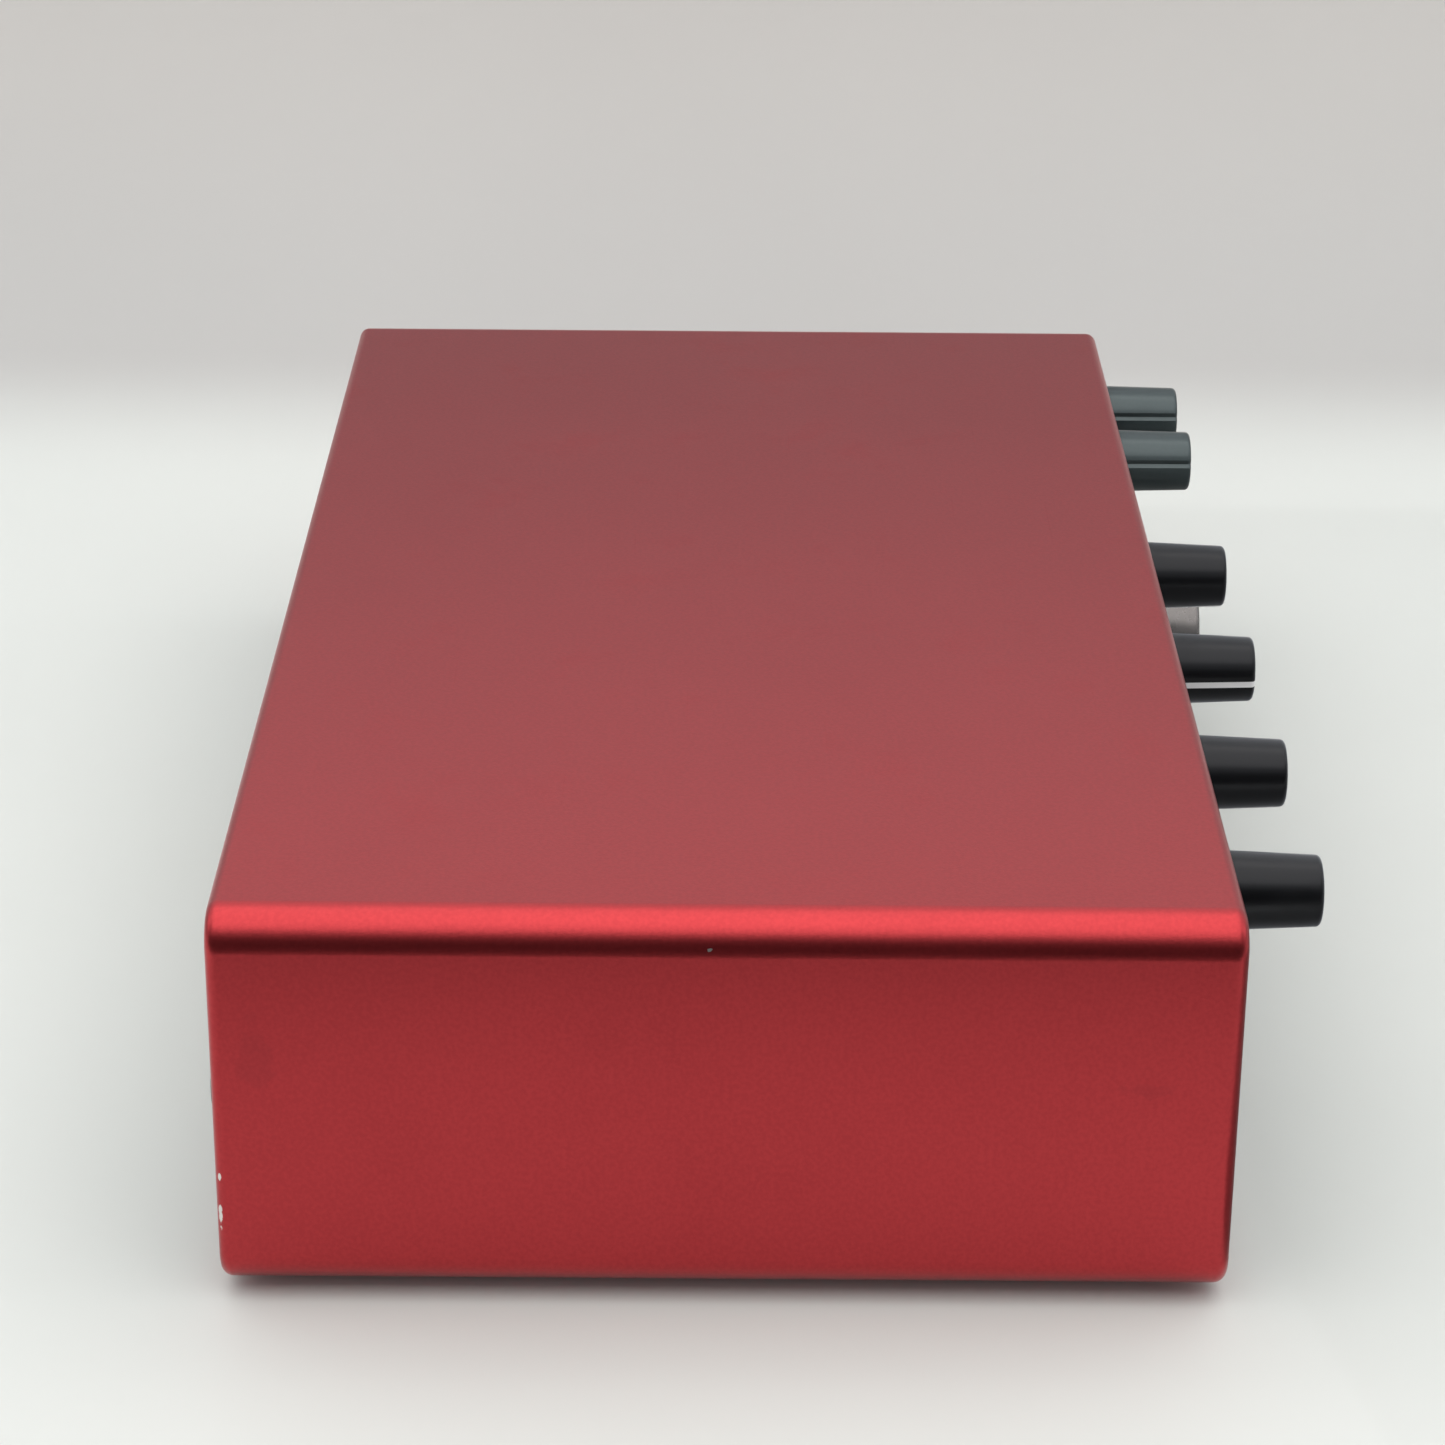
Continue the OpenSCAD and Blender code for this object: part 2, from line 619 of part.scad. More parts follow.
module rear_panel() {
    color([0.09, 0.09, 0.1]) difference() {
        translate([0, 0, z_mid])
            prism(rp_back, rp_face)
                round_rect(inner_w - 2 * panel_gap, inner_h - 2 * panel_gap,
                    inner_r - panel_gap);
        for (x = [-port_x, port_x], z = port_zs)
            rod(x, z, rp_back - 1, rp_face + 1, panel_screw_r + hole_gap);
        for (x = concat(line_out_x, line_in_x))
            rod(x, z_rear, rp_back - 1, rp_face + 1, neck_r + hole_gap);
        for (x = rca_x)
            rod(x, z_rear, rp_back - 1, rp_face + 1, rca_shoulder_r + hole_gap);
        for (x = [midi_in_at, midi_out_at])
            rod(x, z_rear, rp_back - 1, rp_face + 1, din_r + hole_gap);
        translate([optical_at, 0, z_rear]) prism(rp_back - 1, rp_face + 1)
            square(optical_w + 2 * hole_gap, center = true);
        translate([usb_at, 0, usb_z]) prism(rp_back - 1, rp_face + 1)
            round_rect(usb_w + 2 * hole_gap, usb_h + 2 * hole_gap, usb_h / 2);
        rod(dc_at, z_rear, rp_back - 1, rp_face + 1, dc_face_r + hole_gap);
        translate([rocker_at, 0, rocker_z]) prism(rp_back - 1, rp_face + 1)
            square([frame_w + hole_gap, frame_h + hole_gap], center = true);
        translate([lock_x, 0, lock_z]) prism(rp_back - 1, rp_face + 1)
            square([lock_w, lock_h], center = true);
    }
}

module control_board() {
    color([0.05, 0.25, 0.12]) difference() {
        slab(0, 2 * board_half_w, control_y, control_y + board_t,
            z_upper - control_board_h / 2, z_upper + control_board_h / 2);
        for (x = [-stake_x, stake_x], s = [-stake_off, stake_off])
            rod(x, z_upper + s, control_y - 1, control_y + board_t + 1, stake_r);
    }
}

module input_board() {
    color([0.05, 0.25, 0.12])
        slab(0, 2 * board_half_w, input_y, input_y + board_t,
            z_lower - input_board_h / 2, z_lower + input_board_h / 2);
}

module main_board() {
    color([0.05, 0.25, 0.12]) difference() {
        slab(0, 2 * board_half_w, main_y0, main_y1, z_main, z_main_top);
        for (x = [-standoff_x, standoff_x], y = standoff_ys)
            translate([x, y, z_main - 1]) cylinder(r = stake_r, h = board_t + 2);
    }
}

// Standoffs swaged into the main board, drilled from below for the floor screws
module board_standoffs() {
    color([0.75, 0.76, 0.78])
        for (x = [-standoff_x, standoff_x], y = standoff_ys)
            translate([x, y, 0]) difference() {
                union() {
                    translate([0, 0, z_floor])
                        cylinder(r = standoff_r, h = main_board_rise);
                    translate([0, 0, z_main]) cylinder(r = stake_r, h = board_t);
                }
                translate([0, 0, z_floor - 1])
                    cylinder(r = floor_screw_r, h = floor_screw_grip + 2);
            }
}

module combo_jack(x) {
    face = fp_face - combo_out;
    color([0.12, 0.12, 0.13]) difference() {
        union() {
            slab(x, combo_w, fp_back, input_y, z_lower - combo_w / 2, z_lower + combo_w / 2);
            rod(x, z_lower, face, fp_back + 1, combo_r);
        }
        difference() {
            rod(x, z_lower, face - 1, face + combo_slot_d, combo_shell_r);
            rod(x, z_lower, face - 2, face + combo_slot_d + 1, combo_core_r);
        }
        rod(x, z_lower, face - 1, face + plug_depth, plug_r);
        for (a = [30, 150, 270])
            rod(x + combo_pin_at * cos(a), z_lower + combo_pin_at * sin(a),
                face - 1, face + combo_slot_d, combo_pin_r);
    }
}

module combo_jack_1() { combo_jack(gain_x[0]); }
module combo_jack_2() { combo_jack(gain_x[1]); }
module combo_jack_3() { combo_jack(gain_x[2]); }
module combo_jack_4() { combo_jack(gain_x[3]); }

module phones_jack(x) {
    color([0.13, 0.13, 0.14]) difference() {
        union() {
            slab(x, jack_w, fp_back, input_y, z_lower - jack_w / 2, z_lower + jack_w / 2);
            rod(x, z_lower, fp_face - neck_out, fp_back + 1, neck_r);
        }
        rod(x, z_lower, fp_face - neck_out - 1, fp_face - neck_out + plug_depth, plug_r);
    }
}

module phones_jack_1() { phones_jack(phones_x[0]); }
module phones_jack_2() { phones_jack(phones_x[1]); }

// A hexagonal nut on a jack's neck, its back on the plane y0
module jack_nut(x, z, y0, y1) {
    difference() {
        translate([x, y1, z]) rotate([90, 30, 0])
            cylinder(d = nut_flats / cos(30), h = y1 - y0, $fn = 6);
        rod(x, z, y0 - 1, y1 + 1, neck_r);
    }
}

module front_jack_nuts() {
    color([0.3, 0.3, 0.32])
        for (x = phones_x) jack_nut(x, z_lower, fp_face - nut_t, fp_face);
}

module rear_jack_nuts() {
    color([0.3, 0.3, 0.32])
        for (x = concat(line_out_x, line_in_x))
            jack_nut(x, z_rear, rp_face, rp_face + nut_t);
}

module line_jack(x) {
    difference() {
        union() {
            slab(x, jack_w, rp_back - jack_depth, rp_back,
                z_main_top, z_rear + jack_w / 2);
            rod(x, z_rear, rp_back - 1, rp_face + neck_out, neck_r);
        }
        rod(x, z_rear, rp_face + neck_out - plug_depth, rp_face + neck_out + 1, plug_r);
    }
}

module line_out_jacks() {
    color([0.13, 0.13, 0.14]) for (x = line_out_x) line_jack(x);
}

module line_in_jacks() {
    color([0.13, 0.13, 0.14]) for (x = line_in_x) line_jack(x);
}

// A potentiometer whose back lies on a board at y = back and whose neck ends at y = mouth
module pot(x, z, back, mouth) {
    difference() {
        union() {
            slab(x, pot_w, back - pot_d, back, z - pot_h / 2, z + pot_h / 2);
            rod(x, z, mouth, back - pot_d + 1, bush_r);
        }
        rod(x, z, mouth - 1, back - pot_d + shaft_in_pot + shaft_end_gap,
            shaft_r + shaft_play);
    }
}

module gain_pots() {
    color([0.55, 0.56, 0.58])
        for (x = gain_x) pot(x, z_upper, control_y, fp_face + hole_gap);
}

module output_pots() {
    color([0.55, 0.56, 0.58]) {
        for (x = phones_x) pot(x, z_upper, control_y, fp_face + hole_gap);
        pot(monitor_x, z_lower, input_y, fp_face + hole_gap);
    }
}

// A shaft from inside its potentiometer to inside its knob, with a flat in the knob
module shaft(x, z, back, rest) {
    tip = knob_y - knob_bore + shaft_end_gap;
    inner = back - pot_d + shaft_in_pot;
    color([0.8, 0.8, 0.82]) difference() {
        rod(x, z, tip, inner, shaft_r);
        translate([x, tip - 1, z]) rotate([0, rest, 0])
            translate([-shaft_r - 1, 0, shaft_r - shaft_flat])
                cube([2 * shaft_r + 2, knob_y - tip + 1, shaft_r]);
    }
}

module shaft_gain_1() { shaft(gain_x[0], z_upper, control_y, gain_low_rest); }
module shaft_gain_2() { shaft(gain_x[1], z_upper, control_y, gain_low_rest); }
module shaft_gain_3() { shaft(gain_x[2], z_upper, control_y, gain_3_rest); }
module shaft_gain_4() { shaft(gain_x[3], z_upper, control_y, gain_low_rest); }
module shaft_monitor() { shaft(monitor_x, z_lower, input_y, monitor_rest); }
module shaft_phones_1() { shaft(phones_x[0], z_upper, control_y, phones_1_rest); }
module shaft_phones_2() { shaft(phones_x[1], z_upper, control_y, phones_2_rest); }

// A tapered knob, its skirt at y = knob_y and its pointer at the rest angle.
// Its shaft hole is a D: a round bore less a filling on the flat's side.
module knob(x, z, base_d, tip_d, rest, vee) {
    rb = base_d / 2;
    rt = tip_d / 2;
    lean = atan((rb - rt) / knob_len);
    translate([x, knob_y, z]) rotate([90, 0, 0]) rotate([0, 0, -rest]) difference() {
        union() {
            cylinder(r1 = rb, r2 = rt, h = knob_len - knob_edge);
            translate([0, 0, knob_len - knob_edge])
                cylinder(r1 = rt, r2 = rt - knob_edge, h = knob_edge);
        }
        difference() {
            translate([0, 0, -1]) cylinder(r = shaft_r, h = knob_bore + 1);
            translate([-shaft_r - 1, shaft_r - shaft_flat, -2])
                cube([2 * shaft_r + 2, shaft_r, knob_bore + 4]);
        }
        if (vee)
            translate([0, rb, 0]) rotate([lean, 0, 0]) translate([0, 0, knob_len / 2])
                rotate([0, 0, 45])
                    cube([pointer_w * 0.8, pointer_w * 0.8, knob_len + 4], center = true);
        else
            difference() {
                translate([-pointer_w / 2, 0, -1]) cube([pointer_w, rb + 1, knob_len + 2]);
                translate([0, 0, -2])
                    cylinder(r1 = rb - pointer_depth + 2 * tan(lean),
                        r2 = rt - pointer_depth - 2 * tan(lean),
                        h = knob_len - knob_edge + 4);
            }
    }
}

module knob_gain_1() {
    color([0.1, 0.1, 0.11])
        knob(gain_x[0], z_upper, gain_base_d, gain_tip_d, gain_low_rest, false);
}
module knob_gain_2() {
    color([0.1, 0.1, 0.11])
        knob(gain_x[1], z_upper, gain_base_d, gain_tip_d, gain_low_rest, false);
}
module knob_gain_3() {
    color([0.1, 0.1, 0.11])
        knob(gain_x[2], z_upper, gain_base_d, gain_tip_d, gain_3_rest, false);
}
module knob_gain_4() {
    color([0.1, 0.1, 0.11])
        knob(gain_x[3], z_upper, gain_base_d, gain_tip_d, gain_low_rest, false);
}
module knob_monitor() {
    color([0.35, 0.35, 0.37])
        knob(monitor_x, z_lower, monitor_base_d, monitor_tip_d, monitor_rest, true);
}
module knob_phones_1() {
    color([0.35, 0.35, 0.37])
        knob(phones_x[0], z_upper, phones_base_d, phones_tip_d, phones_1_rest, true);
}
module knob_phones_2() {
    color([0.35, 0.35, 0.37])
        knob(phones_x[1], z_upper, phones_base_d, phones_tip_d, phones_2_rest, true);
}

// A push button with a lip that keeps it behind the panel and a plunger on its back
module button(x) {
    lip_y = fp_back + button_rest_gap;
    plunger_y = control_y - tact_d - button_travel - button_end_gap;
    color([0.16, 0.16, 0.17]) {
        translate([x, 0, z_upper]) prism(fp_face - button_out, lip_y + button_lip_t)
            round_rect(button_w, button_h, button_r);
        translate([x, 0, z_upper]) prism(lip_y, lip_y + button_lip_t)
            square([button_w + 2 * button_lip, button_h + 2 * button_lip], center = true);
        rod(x, z_upper, lip_y, plunger_y, plunger_r);
    }
}

module button_channel_1() { button(button_x[0]); }
module button_channel_2() { button(button_x[1]); }
module button_channel_3() { button(button_x[2]); }
module button_channel_4() { button(button_x[3]); }
module button_mute() { button(monitor_x); }

module tact_switches() {
    case_y = control_y - tact_d + tact_tip;
    color([0.2, 0.2, 0.22])
        for (x = all_button_x) {
            slab(x, tact_w, case_y, control_y, z_upper - tact_w / 2, z_upper + tact_w / 2);
            rod(x, z_upper, control_y - tact_d, case_y + e, tact_tip_r);
        }
}

module light_pipes() {
    color([0.8, 0.85, 0.8, 0.6])
        for (p = light_xz)
            rod(p[0], p[1], fp_face, control_y, light_r);
}

module coaxial_block() {
    color([0.1, 0.1, 0.1]) difference() {
        union() {
            slab(rca_at, 2 * rca_pitch, rp_back - socket_depth, rp_back,
                z_main_top, z_rear + rca_pitch / 2);
            for (x = rca_x) {
                rod(x, z_rear, rp_back - 1, rp_face + rca_shoulder_out, rca_shoulder_r);
                rod(x, z_rear, rp_back - 1, rp_face + rca_len - rca_lip, rca_in_r);
            }
        }
        for (x = rca_x)
            rod(x, z_rear, rp_face + rca_len - rca_lip - rca_pin_deep,
                rp_face + rca_len + 1, rca_pin_r);
    }
}

module coaxial_barrels() {
    color([0.83, 0.68, 0.3])
        for (x = rca_x) difference() {
            rod(x, z_rear, rp_face + rca_shoulder_out, rp_face + rca_len, rca_r);
            rod(x, z_rear, rp_face - 1, rp_face + rca_len + 1, rca_in_r);
        }
}

// A round five-pin socket with a housing that stands on the main board
module din_socket(x) {
    face = rp_face + din_out;
    color([0.1, 0.1, 0.1]) difference() {
        union() {
            slab(x, din_w, rp_back - socket_depth, rp_back,
                z_main_top, z_rear + din_w / 2);
            rod(x, z_rear, rp_back - 1, face, din_r);
        }
        difference() {
            rod(x, z_rear, face - din_deep, face + 1, din_slot_r);
            rod(x, z_rear, face - din_deep - 1, face + 2, din_core_r);
        }
        for (a = [180 : 45 : 360])
            rod(x + din_pin_at * cos(a), z_rear + din_pin_at * sin(a),
                face - din_deep, face + 1, din_pin_r);
    }
}

module midi_out_socket() { din_socket(midi_out_at); }
module midi_in_socket() { din_socket(midi_in_at); }

module optical_socket() {
    face = rp_face + optical_out;
    color([0.1, 0.1, 0.11]) difference() {
        union() {
            slab(optical_at, optical_w, face - optical_body, face,
                z_rear - optical_w / 2, z_rear + optical_w / 2);
            slab(optical_at, optical_w, face - optical_body, rp_back - 1,
                z_main_top, z_rear);
        }
        slab(optical_at, optical_mouth, face - optical_deep, face + 1,
            z_rear - optical_mouth / 2, z_rear + optical_mouth / 2);
        rod(optical_at, z_rear, face - optical_deep - 3, face - optical_deep + 1,
            optical_lens_r);
    }
}

module data_socket() {
    face = rp_face + usb_out;
    back = face - usb_body;
    color([0.75, 0.76, 0.78]) {
        difference() {
            translate([usb_at, 0, usb_z]) prism(back, face)
                round_rect(usb_w, usb_h, usb_h / 2 - e);
            translate([usb_at, 0, usb_z]) prism(back + usb_back, face + 1)
                round_rect(usb_w - 2 * usb_wall, usb_h - 2 * usb_wall,
                    usb_h / 2 - usb_wall - e);
        }
        slab(usb_at, usb_tongue_w, back + usb_back / 2, face - usb_tongue_in,
            usb_z - usb_tongue_t / 2, usb_z + usb_tongue_t / 2);
    }
}

module power_inlet() {
    face = rp_face + dc_out;
    color([0.1, 0.1, 0.1]) {
        difference() {
            union() {
                slab(dc_at, 2 * dc_face_r, rp_back - socket_depth, rp_back - hole_gap,
                    z_main_top, z_rear + dc_face_r);
                rod(dc_at, z_rear, rp_back - 1, face, dc_face_r);
            }
            rod(dc_at, z_rear, face - dc_deep, face + 1, dc_r);
        }
        rod(dc_at, z_rear, face - dc_deep - 1, face - dc_pin_in, dc_pin_r);
    }
}

module switch_frame() {
    color([0.08, 0.08, 0.09]) difference() {
        union() {
            slab(rocker_at, frame_w, rp_face - rocker_deep - rocker_wall, rp_face + e,
                rocker_z - frame_h / 2, rocker_z + frame_h / 2);
            slab(rocker_at, frame_w + 2 * rocker_flange, rp_face,
                rp_face + rocker_flange_t, rocker_z - frame_h / 2 - rocker_flange,
                rocker_z + frame_h / 2 + rocker_flange);
        }
        slab(rocker_at, frame_in_w, rp_face - rocker_deep, rp_face + rocker_flange_t + 1,
            rocker_z - frame_in_h / 2, rocker_z + frame_in_h / 2);
        translate([rocker_at, rocker_y, rocker_z]) rotate([0, 90, 0])
            cylinder(r = pivot_r + shaft_play,
                h = frame_in_w + 2 * (pivot_grip + shaft_end_gap / 2), center = true);
    }
}

// A rocker with two flat faces that meet at its middle, on two pivot stubs
module power_rocker() {
    h = rocker_h / 2;
    color([0.12, 0.12, 0.13]) translate([rocker_at, rocker_y, rocker_z]) {
        rotate([rocker_tilt, 0, 0])
            rotate([90, 0, 90]) linear_extrude(rocker_w, center = true)
                polygon([[-rocker_foot, -h * 0.6], [rocker_end / 2, -h], [rocker_end, -h],
                    [rocker_mid, 0], [rocker_end, h], [rocker_end / 2, h],
                    [-rocker_foot, h * 0.6]]);
        rotate([0, 90, 0])
            cylinder(r = pivot_r, h = frame_in_w + 2 * pivot_grip, center = true);
    }
}

// A flat chip centred at x and y on the main board
module chip(x, y, w, d) {
    slab(x, w, y - d / 2, y + d / 2, z_main_top, z_main_top + chip_h);
}

module chips() {
    color([0.08, 0.08, 0.09]) {
        chip(phones_x[0] - phones_pitch, board_mid_y, processor_w, processor_w);
        chip(0, board_mid_y, converter_w, converter_w);
        for (x = line_in_x) chip(x, main_y0 + 2 * preamp_d, preamp_w, preamp_d);
    }
}

module capacitors() {
    color([0.15, 0.16, 0.3]) {
        for (x = [optical_at, usb_at, dc_at])
            translate([x, board_mid_y + processor_w, z_main_top])
                cylinder(r = supply_cap_r, h = supply_cap_h);
        for (x = concat(line_out_x, line_in_x))
            translate([x, board_mid_y, z_main_top])
                cylinder(r = coupling_cap_r, h = coupling_cap_h);
    }
}

// A flat ribbon that leaves the input board's back and bends down to the main board
module ribbon_cable() {
    color([0.6, 0.6, 0.62])
        translate([ribbon_w / 2, input_y + board_t, z_main_top])
            rotate([90, 0, 90]) linear_extrude(ribbon_w)
                intersection() {
                    difference() {
                        circle(ribbon_r);
                        circle(ribbon_r - ribbon_t);
                    }
                    square(2 * ribbon_r);
                }
}

sleeve();
front_panel();
rear_panel();
foot_front_left();
foot_front_right();
foot_rear_left();
foot_rear_right();
floor_screws();
rear_screws();
control_board();
input_board();
main_board();
board_standoffs();
combo_jack_1();
combo_jack_2();
combo_jack_3();
combo_jack_4();
phones_jack_1();
phones_jack_2();
front_jack_nuts();
gain_pots();
output_pots();
shaft_gain_1();
shaft_gain_2();
shaft_gain_3();
shaft_gain_4();
shaft_monitor();
shaft_phones_1();
shaft_phones_2();
knob_gain_1();
knob_gain_2();
knob_gain_3();
knob_gain_4();
knob_monitor();
knob_phones_1();
knob_phones_2();
button_channel_1();
button_channel_2();
button_channel_3();
button_channel_4();
button_mute();
tact_switches();
light_pipes();
line_out_jacks();
line_in_jacks();
rear_jack_nuts();
coaxial_block();
coaxial_barrels();
midi_out_socket();
midi_in_socket();
optical_socket();
data_socket();
power_inlet();
switch_frame();
power_rocker();
chips();
capacitors();
ribbon_cable();
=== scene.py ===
import json
import math

import bmesh
import bpy
from mathutils import Matrix, Vector


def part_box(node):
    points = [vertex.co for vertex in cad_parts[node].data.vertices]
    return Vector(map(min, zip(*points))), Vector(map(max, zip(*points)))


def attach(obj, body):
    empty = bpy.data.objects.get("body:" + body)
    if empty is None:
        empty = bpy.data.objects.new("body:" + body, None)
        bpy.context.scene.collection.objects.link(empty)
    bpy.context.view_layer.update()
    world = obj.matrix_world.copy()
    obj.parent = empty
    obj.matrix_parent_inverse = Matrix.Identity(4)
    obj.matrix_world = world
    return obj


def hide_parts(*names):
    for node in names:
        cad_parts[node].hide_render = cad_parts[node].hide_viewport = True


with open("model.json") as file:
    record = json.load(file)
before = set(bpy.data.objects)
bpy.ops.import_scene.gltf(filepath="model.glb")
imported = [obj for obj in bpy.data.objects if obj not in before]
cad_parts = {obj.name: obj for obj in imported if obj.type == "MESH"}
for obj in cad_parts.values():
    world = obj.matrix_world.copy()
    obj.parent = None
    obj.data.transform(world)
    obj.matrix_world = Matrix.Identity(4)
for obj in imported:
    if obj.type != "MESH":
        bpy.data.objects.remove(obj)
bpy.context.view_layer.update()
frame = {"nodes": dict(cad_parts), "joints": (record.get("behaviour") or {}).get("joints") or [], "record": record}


# ---- Studio --------------------------
# The case stands on a pale sheet that sweeps up into a wall behind its right end.
# Five panels light it, mostly from overhead. Two gray cards that only glossy surfaces
# show, one before the left end and one on the floor, darken the edges and the knobs.
mm = 0.001
LENS, FILM_WIDTH = 98.68, 36
CAMERA_SPOT = (-0.64028, 0.00553, 0.31897)
TILT, TURN, ROLL = 23.9385, -0.0892, 0.4621
SWEEP_START, SWEEP_R, WALL_TOP, HALF_SHEET = 0.19, 0.16, 1.3, 2.6
# The sheet's tone changes with height. The floor keeps its pale tone. The wall above it is painted light and
# shade: a wall painted darker, a painted dim strip and a painted bright upper wall. These stand in for how light
# falls there and set what the case's metal reflects.
SHEET_RAMP = 0.40
SHEET_TONES_AND_PAINTED_LIGHT = ((0, (0.775, 0.795, 0.775)), (0.016, (0.558, 0.549, 0.543)), (0.085, (0.61, 0.59, 0.575)),
               (0.125, (0.33, 0.36, 0.38)), (0.18, (0.48, 0.52, 0.54)), (0.31, (0.95, 0.97, 1.0)))
ROOM_TONE, ROOM_STRENGTH, BACKDROP = (0.95, 0.985, 1.0), 0.49, (0.80, 0.79, 0.78)
FLAG_X, FLAG_HALF, FLAG_TOP = -0.26, 0.6, 0.14
CARD_OUTLINE = ((-0.17, -0.35), (0.20, -0.35), (0.20, -0.08), (-0.12, -0.08), (-0.17, -0.09))
CARD_Z = 0.0006
CLOUDS = 7


def fill(node, *numbered, **named):
    """Fills inputs, by number or by name, with values or with other nodes' outputs.
    A node stands for its first output, and a single number for a gray."""
    for key, value in (*enumerate(numbered), *named.items()):
        socket = node.inputs[key.replace("_", " ") if isinstance(key, str) else key]
        if hasattr(value, "outputs"):
            value = value.outputs[0]
        if hasattr(value, "is_output"):
            node.id_data.links.new(value, socket)
        elif socket.type == "RGBA":
            socket.default_value = (*value, 1) if isinstance(value, tuple) else (value,) * 3 + (1,)
        else:
            socket.default_value = value


def add_node(tree, kind, *numbered, **named):
    """A new node. A name in lower case is a setting of its own, any other fills an input."""
    node = tree.nodes.new(kind)
    for key in [key for key in named if key[0].islower()]:
        setattr(node, key, named.pop(key))
    fill(node, *numbered, **named)
    return node


def new_material(name, **sockets):
    """A new material with its shader joined to its output."""
    made = bpy.data.materials.new(name)
    made.use_nodes = True
    made.node_tree.nodes.clear()
    shader = add_node(made.node_tree, "ShaderNodeBsdfPrincipled", **sockets)
    out = add_node(made.node_tree, "ShaderNodeOutputMaterial", Surface=shader)
    return made, shader, out


def place_on(tree):
    """The point on the piece, in the shared frame."""
    return add_node(tree, "ShaderNodeTexCoord").outputs["Object"]


def noise(tree, where, scale, detail, roughness=0.5):
    """A cloudy value between 0 and 1."""
    return add_node(tree, "ShaderNodeTexNoise", Vector=where, Scale=scale, Detail=detail,
                    Roughness=roughness)


def ranged(tree, value, zero, one):
    """A value stretched so that the two given ones become 0 and 1."""
    return add_node(tree, "ShaderNodeMapRange", Value=value, From_Min=zero, From_Max=one)


def blend(tree, factor, a, b, how="MIX"):
    """A colour between a and b."""
    return add_node(tree, "ShaderNodeMix", data_type="RGBA", blend_type=how, Factor=factor,
                    A=a, B=b).outputs["Result"]


def add_object(name, data):
    """Puts a mesh, lamp or camera in the scene."""
    obj = bpy.data.objects.new(name, data)
    bpy.context.scene.collection.objects.link(obj)
    return obj


def plain_mesh(name, points, edges=(), faces=()):
    """An object from points in metres."""
    mesh = bpy.data.meshes.new(name)
    mesh.from_pydata(points, edges, faces)
    return add_object(name, mesh)


def turn_by(degrees, axis="Z"):
    """A matrix that turns about an axis."""
    return Matrix.Rotation(math.radians(degrees), 4, axis)


def arc(x, y, r, angles, up=None):
    """Points on an arc round (x, y); up is its other radius, where that isn't the same."""
    turns = [math.radians(a) for a in angles]
    return [(x + r * math.cos(a), y + (up or r) * math.sin(a)) for a in turns]


def area_lamp(name, spot, target, width, height, watts, colour=(1, 1, 1)):
    """A soft panel of light that the camera doesn't show."""
    lamp = bpy.data.lights.new(name, "AREA")
    lamp.shape = "RECTANGLE"
    lamp.size, lamp.size_y = width, height
    lamp.energy = watts
    lamp.color = colour
    obj = add_object(name, lamp)
    obj.location = spot
    obj.rotation_euler = (Vector(target) - Vector(spot)).to_track_quat("-Z", "Y").to_euler()
    obj.visible_camera = False


def glossy_card(name, corners, gray):
    """A flat card that only glossy reflections show."""
    card = plain_mesh(name, corners, faces=[range(len(corners))])
    for ray in ("camera", "diffuse", "shadow", "transmission"):
        setattr(card, "visible_" + ray, False)
    card.data.materials.append(new_material(name, Base_Color=gray, Roughness=0.9)[0])


camera = add_object("camera", bpy.data.cameras.new("camera"))
camera.data.lens = LENS
camera.data.sensor_width = FILM_WIDTH
camera.data.clip_start = 0.01
camera.data.clip_end = 50
facing = turn_by(TURN - 90) @ turn_by(90 - TILT, "X") @ turn_by(ROLL)
camera.matrix_world = Matrix.Translation(CAMERA_SPOT) @ facing
bpy.context.scene.camera = camera
bpy.context.scene.view_settings.view_transform = "Standard"

# The sheet: a flat floor, a round sweep and a wall, drawn as one line and drawn out sideways
line = [(-HALF_SHEET, 0), (SWEEP_START, 0)]
line += arc(SWEEP_START, SWEEP_R, SWEEP_R, [step * 3.75 for step in range(-23, 1)])
line.append((SWEEP_START + SWEEP_R, WALL_TOP))
count = len(line)
sheet = plain_mesh("sheet", [(x, y, z) for y in (-HALF_SHEET, HALF_SHEET) for x, z in line],
                   faces=[(i, i + 1, i + 1 + count, i + count) for i in range(count - 1)])
sheet.data.shade_smooth()
paper, shader, out = new_material("pale sheet", Roughness=0.55, Specular_IOR_Level=0.3)
tree = paper.node_tree
place = place_on(tree)
height = add_node(tree, "ShaderNodeSeparateXYZ", place).outputs["Z"]
# Painted shade and light on the wall: the sheet's tone ramped by height
tone = add_node(tree, "ShaderNodeValToRGB", ranged(tree, height, 0, SHEET_RAMP))
stops = tone.color_ramp.elements
tone.color_ramp.interpolation = "EASE"
for up, colour in SHEET_TONES_AND_PAINTED_LIGHT:
    stop = stops.new(up / SHEET_RAMP) if up else stops[0]
    stop.color = (*colour, 1)
stops[-1].color = stops[-2].color
fill(shader, Base_Color=blend(tree, noise(tree, place, CLOUDS, 4), tone, 0.93, "MULTIPLY"))
# Seen from behind, the wall lets the view through to the case
behind = add_node(tree, "ShaderNodeBsdfTransparent")
which = add_node(tree, "ShaderNodeNewGeometry").outputs["Backfacing"]
fill(out, Surface=add_node(tree, "ShaderNodeMixShader", which, shader, behind))
sheet.data.materials.append(paper)

world = bpy.data.worlds.new("studio")
world.use_nodes = True
tree = world.node_tree
room = tree.nodes["Background"]
fill(room, Color=ROOM_TONE, Strength=ROOM_STRENGTH)
backdrop = add_node(tree, "ShaderNodeBackground", Color=BACKDROP, Strength=1.0)
eye = add_node(tree, "ShaderNodeLightPath").outputs["Is Camera Ray"]
fill(tree.nodes["World Output"], Surface=add_node(tree, "ShaderNodeMixShader", eye, room, backdrop))
bpy.context.scene.world = world

